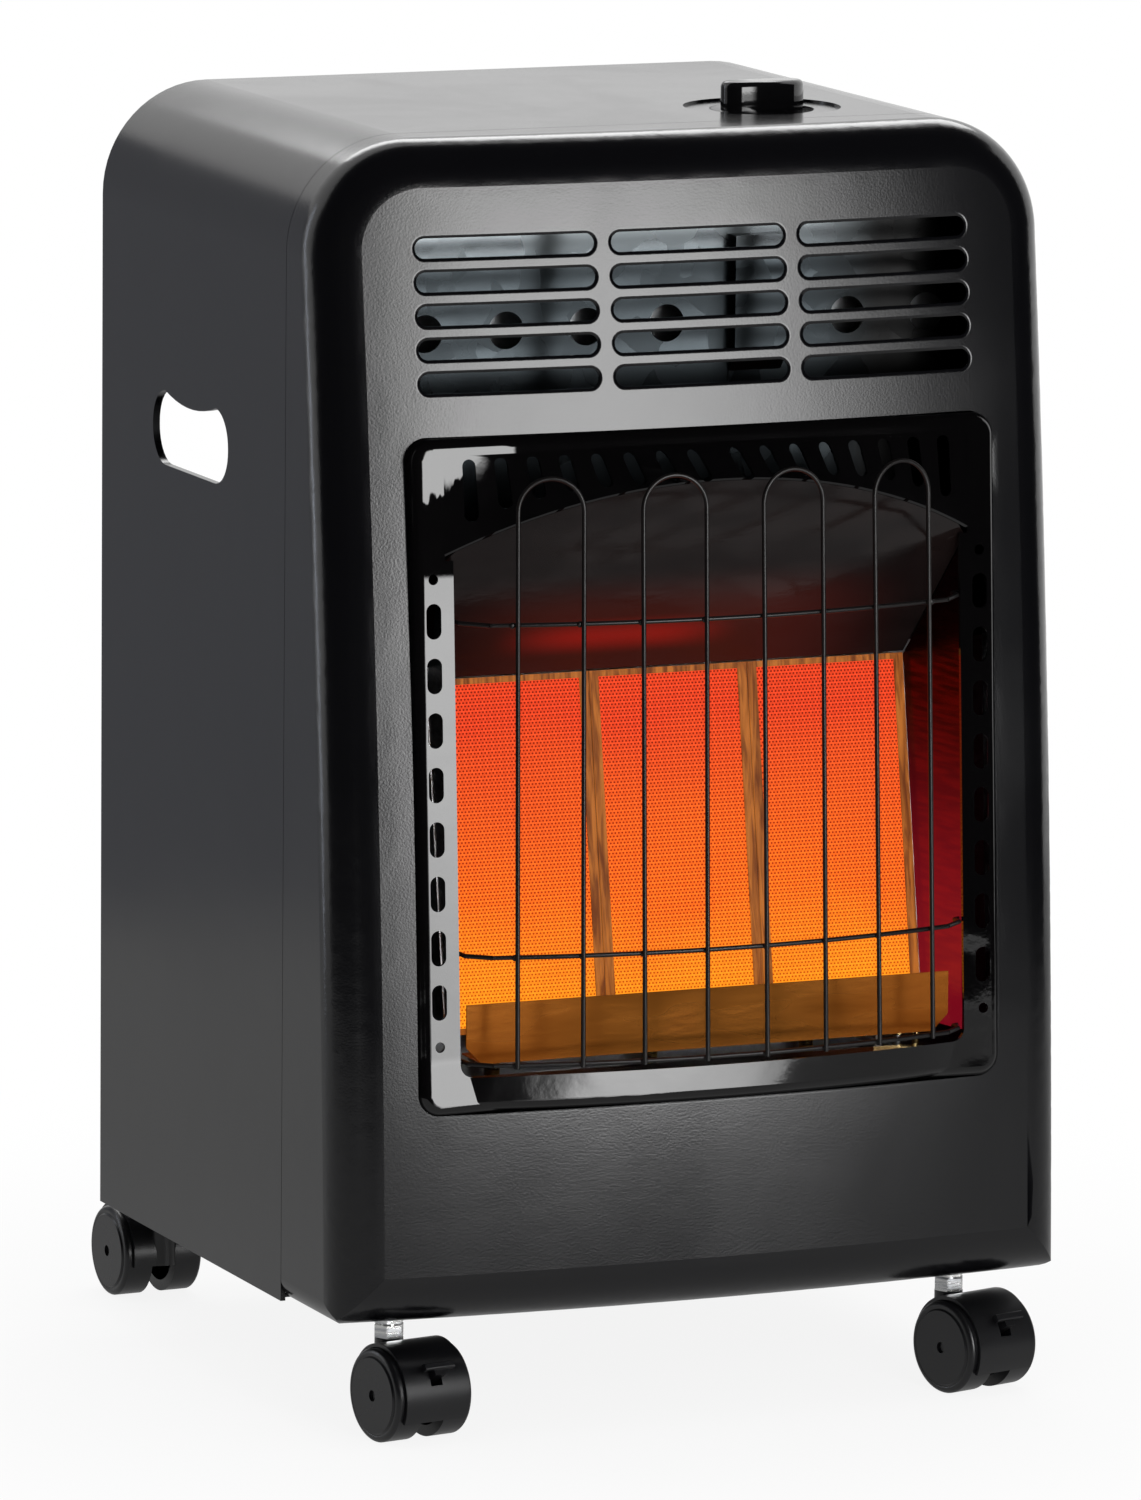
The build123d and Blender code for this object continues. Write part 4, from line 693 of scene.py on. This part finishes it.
galvanised = sheet_metal(
    "galvanised sheet",
    dark=(0.27, 0.28, 0.29),
    light=(0.46, 0.47, 0.48),
    roughness=0.38,
    cells=230.0,
)
cast_alloy = sheet_metal(
    "cast alloy",
    dark=(0.34, 0.34, 0.35),
    light=(0.55, 0.55, 0.56),
    roughness=0.48,
    cells=420.0,
)
shaded_baffle = baffle_painted_shade()
zinc_plate = turned_metal(
    "zinc plate", dark=(0.52, 0.53, 0.55), light=(0.82, 0.82, 0.80), roughness=0.24
)
brass = turned_metal(
    "machined brass", dark=(0.50, 0.34, 0.12), light=(0.78, 0.58, 0.28), roughness=0.26
)
aluminium = turned_metal(
    "soft aluminium",
    dark=(0.55, 0.55, 0.56),
    light=(0.75, 0.75, 0.76),
    roughness=0.32,
    stretch=(1, 1, 0.2),
)
print("six plain metals")

# %% [markdown]
# ## Heated metals, painted reflections and the glow
# The right side sheet mirrors the glowing plaques; that reflection is painted as a crimson field
# of emission. The hood above is dark and smooth, and two painted reflections of the glow on it,
# one wide and faint, one small and bright, are emission too. The strip in front is straw brown,
# with a painted glow at its ends for the plaque light it mirrors. The plaque frames stand in the
# heat itself, so they glow a little too and carry upright streaks of scale; that glow is partly
# their own heat and partly painted light for plaque light that the reflectors throw back.

# %% heated sheets with painted reflections
HOOD_SPECULAR = 0.3


def band(tree, value, out_low, in_low, in_high, out_high):
    """A mask that is 1 between two inner limits and fades to 0 at the outer ones."""
    return product(tree, remap(tree, value, out_low, in_low), remap(tree, value, out_high, in_high))


def sheet_with_painted_glow(name, dark, light, roughness, stretch, depth, glows, metallic=1.0):
    """Heat tinted sheet whose glows are painted light, emission for plaque light it mirrors. A glow
    has a colour, four heights, a middle and two distances aside of it.
    """
    material, tree, shader, where = start(name, roughness, metallic, Emission_Strength=1.0)
    axes = split(tree, where)
    painted_light = (0, 0, 0, 1)
    # Each glow is painted light: emission where the sheet mirrors the plaques.
    for colour, heights, middle, aside in glows:
        sideways = math_node(tree, "SUBTRACT", axes["X"], middle)
        near = remap(tree, math_node(tree, "ABSOLUTE", sideways), *aside)
        painted_light = mixed(tree, product(tree, near, band(tree, axes["Z"], *heights)), painted_light, (*colour, 1))
    plug(tree, painted_light, shader.inputs["Emission Color"])
    gloss = (roughness + 0.06, roughness - 0.05)
    draw(tree, shader, where, (dark, light), gloss, stretch, depth)
    return material


def above(foot, *steps):
    return [foot + step for step in steps]


side_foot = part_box("side_reflector_right")[0].z
hood_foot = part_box("hood_reflector")[0].z
crimson_reflection_heights = above(side_foot, -0.02, -0.01, 0.03, 0.19)
faint_heights = above(hood_foot, -0.01, -0.005, 0.03, 0.06)
bright_heights = above(hood_foot, 0.008, 0.020, 0.020, 0.032)
# Painted reflection of the plaques on the side sheet, as a crimson field of emission.
crimson_painted_reflection = ((0.17, 0.003, 0.010), crimson_reflection_heights, 0.15, (0.12, 0.10))
# A wide faint and a small bright painted reflection of the plaques' glow on the hood, as emission.
faint_painted_reflection = ((0.035, 0.004, 0.002), faint_heights, -0.01, (0.15, 0.05))
bright_painted_reflection = ((0.20, 0.006, 0.003), bright_heights, -0.035, (0.075, 0.02))
# Painted glow at both ends of the strip, as emission for plaque light it mirrors.
strip_end_painted_glow = ((0.070, 0.013, 0.001), (0.0, 0.01, 0.9, 1.0), 0.0, (0.03, 0.14))

side_sheet = sheet_with_painted_glow(
    "side sheet painted reflection",
    dark=(0.020, 0.006, 0.008),
    light=(0.07, 0.014, 0.022),
    roughness=0.20,
    stretch=(1, 1, 9),
    depth=0.00008,
    glows=[crimson_painted_reflection],
)
hood_sheet = sheet_with_painted_glow(
    "hood painted reflection",
    dark=(0.006, 0.004, 0.004),
    light=(0.012, 0.008, 0.0075),
    roughness=0.13,
    stretch=(0.4, 1, 1),
    depth=0.00003,
    glows=[faint_painted_reflection, bright_painted_reflection],
    metallic=0.1,
)
hood_shader = hood_sheet.node_tree.nodes["Principled BSDF"]
hood_shader.inputs["Specular IOR Level"].default_value = HOOD_SPECULAR
strip_sheet = sheet_with_painted_glow(
    "straw tinted strip painted glow",
    dark=(0.06, 0.020, 0.003),
    light=(0.12, 0.042, 0.007),
    roughness=0.26,
    stretch=(0.3, 1, 1),
    depth=0.00005,
    glows=[strip_end_painted_glow],
)
print("three heated sheets")

# %% glowing plaque frames
SCALE_RELIEF = 0.0002


def glowing_frame():
    """Scaled steel with a dim glow in upright streaks, partly its own heat and partly painted light
    for plaque light thrown back by the reflectors.
    """
    looks = {"Emission_Strength": 1.0, "Specular_IOR_Level": 0.1}
    material, tree, shader, where = start("scaled frame", 0.6, **looks)
    upright = stretched(tree, where, (2.2, 1, 0.12))
    streak = noise(tree, upright, scale=150.0, detail=4.0, distortion=0.8)
    tone = remap(tree, streak, 0.3, 0.7)
    scale = mixed(tree, tone, (0.04, 0.015, 0.005, 1), (0.12, 0.05, 0.015, 1))
    # Painted glow: partly the frame's own heat, partly plaque light from the reflectors.
    glow = mixed(tree, tone, (0.12, 0.026, 0.005, 1), (0.40, 0.115, 0.014, 1))
    plug(tree, scale, shader.inputs["Base Color"])
    plug(tree, glow, shader.inputs["Emission Color"])
    bump(tree, shader, streak, SCALE_RELIEF)
    return material


scaled_frame = glowing_frame()
print(scaled_frame.name)

# %% [markdown]
# ## The ceramic plaques
# Gas burns in thousands of fine holes, in staggered rows about two millimetres apart. The web
# between the holes glows brightest, and the holes are darker. Rows are found with floor and
# fraction: every second row is moved sideways by half a pitch, and the distance to the nearest
# hole's middle gives the mask. A second grid of faint grooves parts the holes into cells.

# %% plaque holes group
HOLE_PITCH_X, HOLE_PITCH_Z = 0.002, 0.00177
HOLE_RADIUS, HOLE_BLUR = 0.3, 0.10  # as shares of the pitch
GROOVE_EDGES = (0.40, 0.49)  # as shares of a cell's side, counted from its middle


def from_middle(tree, count):
    """Signed distance of a running count from the middle of its own step."""
    return math_node(tree, "SUBTRACT", math_node(tree, "FRACT", count), 0.5)


def plaque_holes():
    """Masks of the flame holes and of the grooves between cells of two by two holes."""
    group, entry, leave = shader_group("plaque holes", ("Hole", "Groove"))
    axes = split(group, entry["Vector"])
    row = math_node(group, "DIVIDE", axes["Z"], HOLE_PITCH_Z)
    odd = math_node(group, "PINGPONG", math_node(group, "FLOOR", row), 1.0)
    column = math_node(group, "DIVIDE", axes["X"], HOLE_PITCH_X)
    column = math_node(group, "ADD", column, product(group, odd, 0.5))
    off_x, off_z = from_middle(group, column), from_middle(group, row)
    squares = math_node(group, "MULTIPLY_ADD", off_x, off_x, product(group, off_z, off_z))
    inside = math_node(group, "SUBTRACT", HOLE_RADIUS, math_node(group, "SQRT", squares))
    plug(group, remap(group, inside, -HOLE_BLUR, HOLE_BLUR), leave["Hole"])
    cell_x, cell_z = (
        math_node(group, "ABSOLUTE", from_middle(group, product(group, count, 0.5)))
        for count in (column, row)
    )
    near_edge = math_node(group, "MAXIMUM", cell_x, cell_z)
    plug(group, remap(group, near_edge, *GROOVE_EDGES), leave["Groove"])
    return group


holes = plaque_holes()
print(holes.name, "group")

# %% glowing ceramic
# Colours of the glow at the foot, the waist and the crown of a plaque.
WEB_GLOW = (1.0, 0.42, 0.014, 1), (0.92, 0.16, 0.012, 1), (0.80, 0.058, 0.016, 1)
HOLE_GLOW = (0.62, 0.13, 0.002, 1), (0.33, 0.020, 0.002, 1), (0.18, 0.006, 0.002, 1)
CERAMIC_BASE = (0.03, 0.008, 0.003, 1)
CERAMIC_RELIEF = 0.0006
GROOVE_TONE, GROOVE_DEPTH = 0.35, 0.3
STRAY = 0.05


def heat_ramp(tree, height, colours):
    """Colour that goes from foot over waist to crown as height goes from 0 to 1."""
    made = add(tree, "ValToRGB", {"Fac": height})
    foot, waist, crown = colours
    made.color_ramp.elements[0].color = foot
    made.color_ramp.elements[1].color = crown
    made.color_ramp.elements.new(0.5).color = waist
    return made.outputs["Color"]


def glowing_ceramic(low, high):
    """Ceramic that glows from yellow-orange at the foot to orange-red at the top."""
    looks = {"Base_Color": CERAMIC_BASE, "Specular_IOR_Level": 0.05, "Emission_Strength": 1.3}
    material, tree, shader, where = start("glowing ceramic", 0.8, **looks)
    pattern = use_group(tree, holes, Vector=where)
    drift = noise(tree, where, scale=16.0, detail=3.0)
    stray = math_node(tree, "MULTIPLY_ADD", drift, STRAY, split(tree, where)["Z"])
    limits = {"Value": stray, "From Min": low, "From Max": high}
    height = add(tree, "MapRange", limits).outputs["Result"]
    web, deep = heat_ramp(tree, height, WEB_GLOW), heat_ramp(tree, height, HOLE_GLOW)
    grooved = mixed(tree, product(tree, pattern["Groove"], GROOVE_TONE), web, deep)
    plug(tree, mixed(tree, pattern["Hole"], grooved, deep), shader.inputs["Emission Color"])
    groove_height = product(tree, pattern["Groove"], -GROOVE_DEPTH)
    relief = math_node(tree, "MULTIPLY_ADD", pattern["Hole"], -1.0, groove_height)
    bump(tree, shader, relief, CERAMIC_RELIEF)
    return material


plaque_low, plaque_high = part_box("plaque_middle")
ceramic = glowing_ceramic(plaque_low.z, plaque_high.z)
print("the plaques stand between", round(plaque_low.z, 3), "and", round(plaque_high.z, 3), "m")

# %% glazed ceramic
GLAZE_RELIEF = 0.00003


def glazed_ceramic():
    """Cream glaze of the igniter, clouded with brown."""
    material, tree, shader, where = start("glazed ceramic", 0.15)
    cloud = noise(tree, where, scale=140.0, detail=4.0)
    tone = remap(tree, cloud, 0.4, 0.7)
    glaze = mixed(tree, tone, (0.80, 0.77, 0.70, 1), (0.55, 0.44, 0.33, 1))
    plug(tree, glaze, shader.inputs["Base Color"])
    bump(tree, shader, cloud, GLAZE_RELIEF)
    return material


glazed = glazed_ceramic()
print(glazed.name)

# %% [markdown]
# ## Dressing the CAD nodes
# Each node keeps its CAD shape and gets the finish of its real piece. A table from finish to node
# names keeps this readable. All moving pieces of the casters are nylon, and what is left over is
# galvanised sheet.

# %% dress the nodes
DRESS = {
    paint: ["cabinet_wrap", "front_panel", "base_tray"],
    enamel: ["surround_bezel"],
    hood_sheet: ["hood_reflector"],
    side_sheet: ["side_reflector_left", "side_reflector_right"],
    strip_sheet: ["bottom_deflector"],
    wire_coat: ["wire_guard", "guard_cross_wires"],
    # The vent baffle and its strap carry painted shade and a painted highlight.
    shaded_baffle: ["vent_baffle", "baffle_strap"],
    gloss_plastic: ["control_knob"],
    switch_plastic: ["tilt_switch"],
    brass: [
        "gas_inlet_fitting",
        "gas_injectors",
        "pilot_burner",
        "thermocouple",
        "push_sleeve",
        "valve_spindle",
    ],
    aluminium: ["main_gas_tube", "pilot_gas_tube"],
    cast_alloy: ["gas_valve"],
    zinc_plate: ["gas_manifold", "caster_stems", "stem_nuts"],
    glazed: ["igniter_electrode"],
    scaled_frame: ["plaque_frame_left", "plaque_frame_middle", "plaque_frame_right"],
    ceramic: ["plaque_left", "plaque_middle", "plaque_right"],
}
CASTER_WORDS = ("caster_hood", "wheel", "lever", "axle")

finish_of = {node: finish for finish, nodes in DRESS.items() for node in nodes}
for name, piece in parts.items():
    on_caster = any(word in name for word in CASTER_WORDS)
    finish = finish_of.get(name, nylon if on_caster else galvanised)
    piece.data.materials.clear()
    piece.data.materials.append(finish)
print(len(parts), "nodes are dressed,", len(finish_of), "of them by name")

# %% [markdown]
# ## Threads and welds
# The caster stems and the gas inlet are plain cylinders in the CAD model. Here each gets its
# thread: a ridge with a sharp crest that climbs one pitch per turn. Where the guard's upright and
# level wires cross, a small bead of weld joins them.

# %% threads
UP, SIDEWAYS, BACKWARD = Vector((0, 0, 1)), Vector((1, 0, 0)), Vector((0, 1, 0))
STEPS_PER_TURN = 24
THREAD_ROOT, THREAD_CREST, THREAD_HALF_WIDTH = -0.00005, 0.00022, 0.42
STEM_RADIUS, STEM_PITCH = 0.00475, 0.00159
STEM_FOOT, NUT_MARGIN = 0.0509, 0.0006
STEM_ABOVE_NUT = (0.0750, 0.0768)
FRONT_STEM = (0.16325, -0.15203, 0.0582)  # x, y and the foot of its lower nut
REAR_STEM = (0.1620, 0.18537, 0.0594)
INLET_RADIUS, INLET_PITCH = 0.00794, 0.00141
INLET_THREAD, INLET_REACH = 0.0140, 0.0150


def new_piece(name, shape, material):
    """Turns a bmesh into an object that rides on the cabinet with the finish slot of a node."""
    for face in shape.faces:
        face.smooth = True
    bmesh.ops.recalc_face_normals(shape, faces=shape.faces)
    mesh = bpy.data.meshes.new(name)
    shape.to_mesh(mesh)
    shape.free()
    mesh.materials.append(material)
    piece = bpy.data.objects.new(name, mesh)
    scene.collection.objects.link(piece)
    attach(piece, "cabinet")


def thread(shape, foot, along, across, radius, pitch, length):
    """A helical ridge round the axis that runs from foot in the direction along."""
    other = along.cross(across)
    profile = (
        (THREAD_ROOT, -THREAD_HALF_WIDTH),
        (THREAD_CREST, 0.0),
        (THREAD_ROOT, THREAD_HALF_WIDTH),
    )
    rings = []
    for step in range(int(length / pitch * STEPS_PER_TURN) + 1):
        turn = 2 * math.pi * step / STEPS_PER_TURN
        outward = across * math.cos(turn) + other * math.sin(turn)
        middle = foot + along * (pitch * step / STEPS_PER_TURN)
        points = [
            middle + outward * (radius + lift) + along * (shift * pitch)
            for lift, shift in profile
        ]
        rings.append([shape.verts.new(point) for point in points])
    for ring, following in zip(rings, rings[1:]):
        for i in range(2):
            shape.faces.new((ring[i], ring[i + 1], following[i + 1], following[i]))


stem_threads = bmesh.new()
for x, y, nut_foot in (FRONT_STEM, REAR_STEM):
    for side in (-1, 1):
        for low, high in ((STEM_FOOT, nut_foot - NUT_MARGIN), STEM_ABOVE_NUT):
            foot = Vector((side * x, y, low))
            thread(stem_threads, foot, UP, SIDEWAYS, STEM_RADIUS, STEM_PITCH, high - low)
new_piece("stem_threads", stem_threads, zinc_plate)

inlet_low, inlet_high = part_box("gas_inlet_fitting")
inlet_middle = (inlet_low + inlet_high) / 2
inlet_foot = Vector((inlet_middle.x, inlet_high.y - INLET_REACH, inlet_middle.z))
inlet_thread = bmesh.new()
thread(inlet_thread, inlet_foot, BACKWARD, UP, INLET_RADIUS, INLET_PITCH, INLET_THREAD)
new_piece("inlet_thread", inlet_thread, brass)
print("threads on four stems and the inlet")

# %% weld beads
BEAD_RADIUS = 0.0013
BEAD_SHAPE = (1.35, 0.75, 1.35, 1)
BEAD_SET_BACK = 0.0012
CROSS_WIRE_LEVELS = (0.2055, 0.2625, 0.4370)
HAIRPIN_CENTRES = (-0.1025, -0.0346, 0.0346, 0.1025)
HAIRPIN_LEG = 0.0175
GUARD_MIDDLE, GUARD_BOW, GUARD_LEAN = -0.22883, 1.01, 0.041
GUARD_LEVEL = 0.345


def guard_y(x, z):
    """The bowed, slightly leaning surface in which the guard's wires lie."""
    return GUARD_MIDDLE + GUARD_BOW * x * x + GUARD_LEAN * (z - GUARD_LEVEL)


beads = bmesh.new()
legs = [centre + leg for centre in HAIRPIN_CENTRES for leg in (-HAIRPIN_LEG, HAIRPIN_LEG)]
for level in CROSS_WIRE_LEVELS:
    for x in legs:
        crossing = Matrix.Translation((x, guard_y(x, level) + BEAD_SET_BACK, level))
        place = crossing @ Matrix.Diagonal(BEAD_SHAPE)
        bmesh.ops.create_uvsphere(
            beads, u_segments=12, v_segments=8, radius=BEAD_RADIUS, matrix=place
        )
new_piece("guard_welds", beads, wire_coat)
print(len(CROSS_WIRE_LEVELS) * len(legs), "weld beads on the guard")

# %% [markdown]
# ## The end
# The last cell prints that the heater is dressed.

# %% finish
print("the heater is dressed")
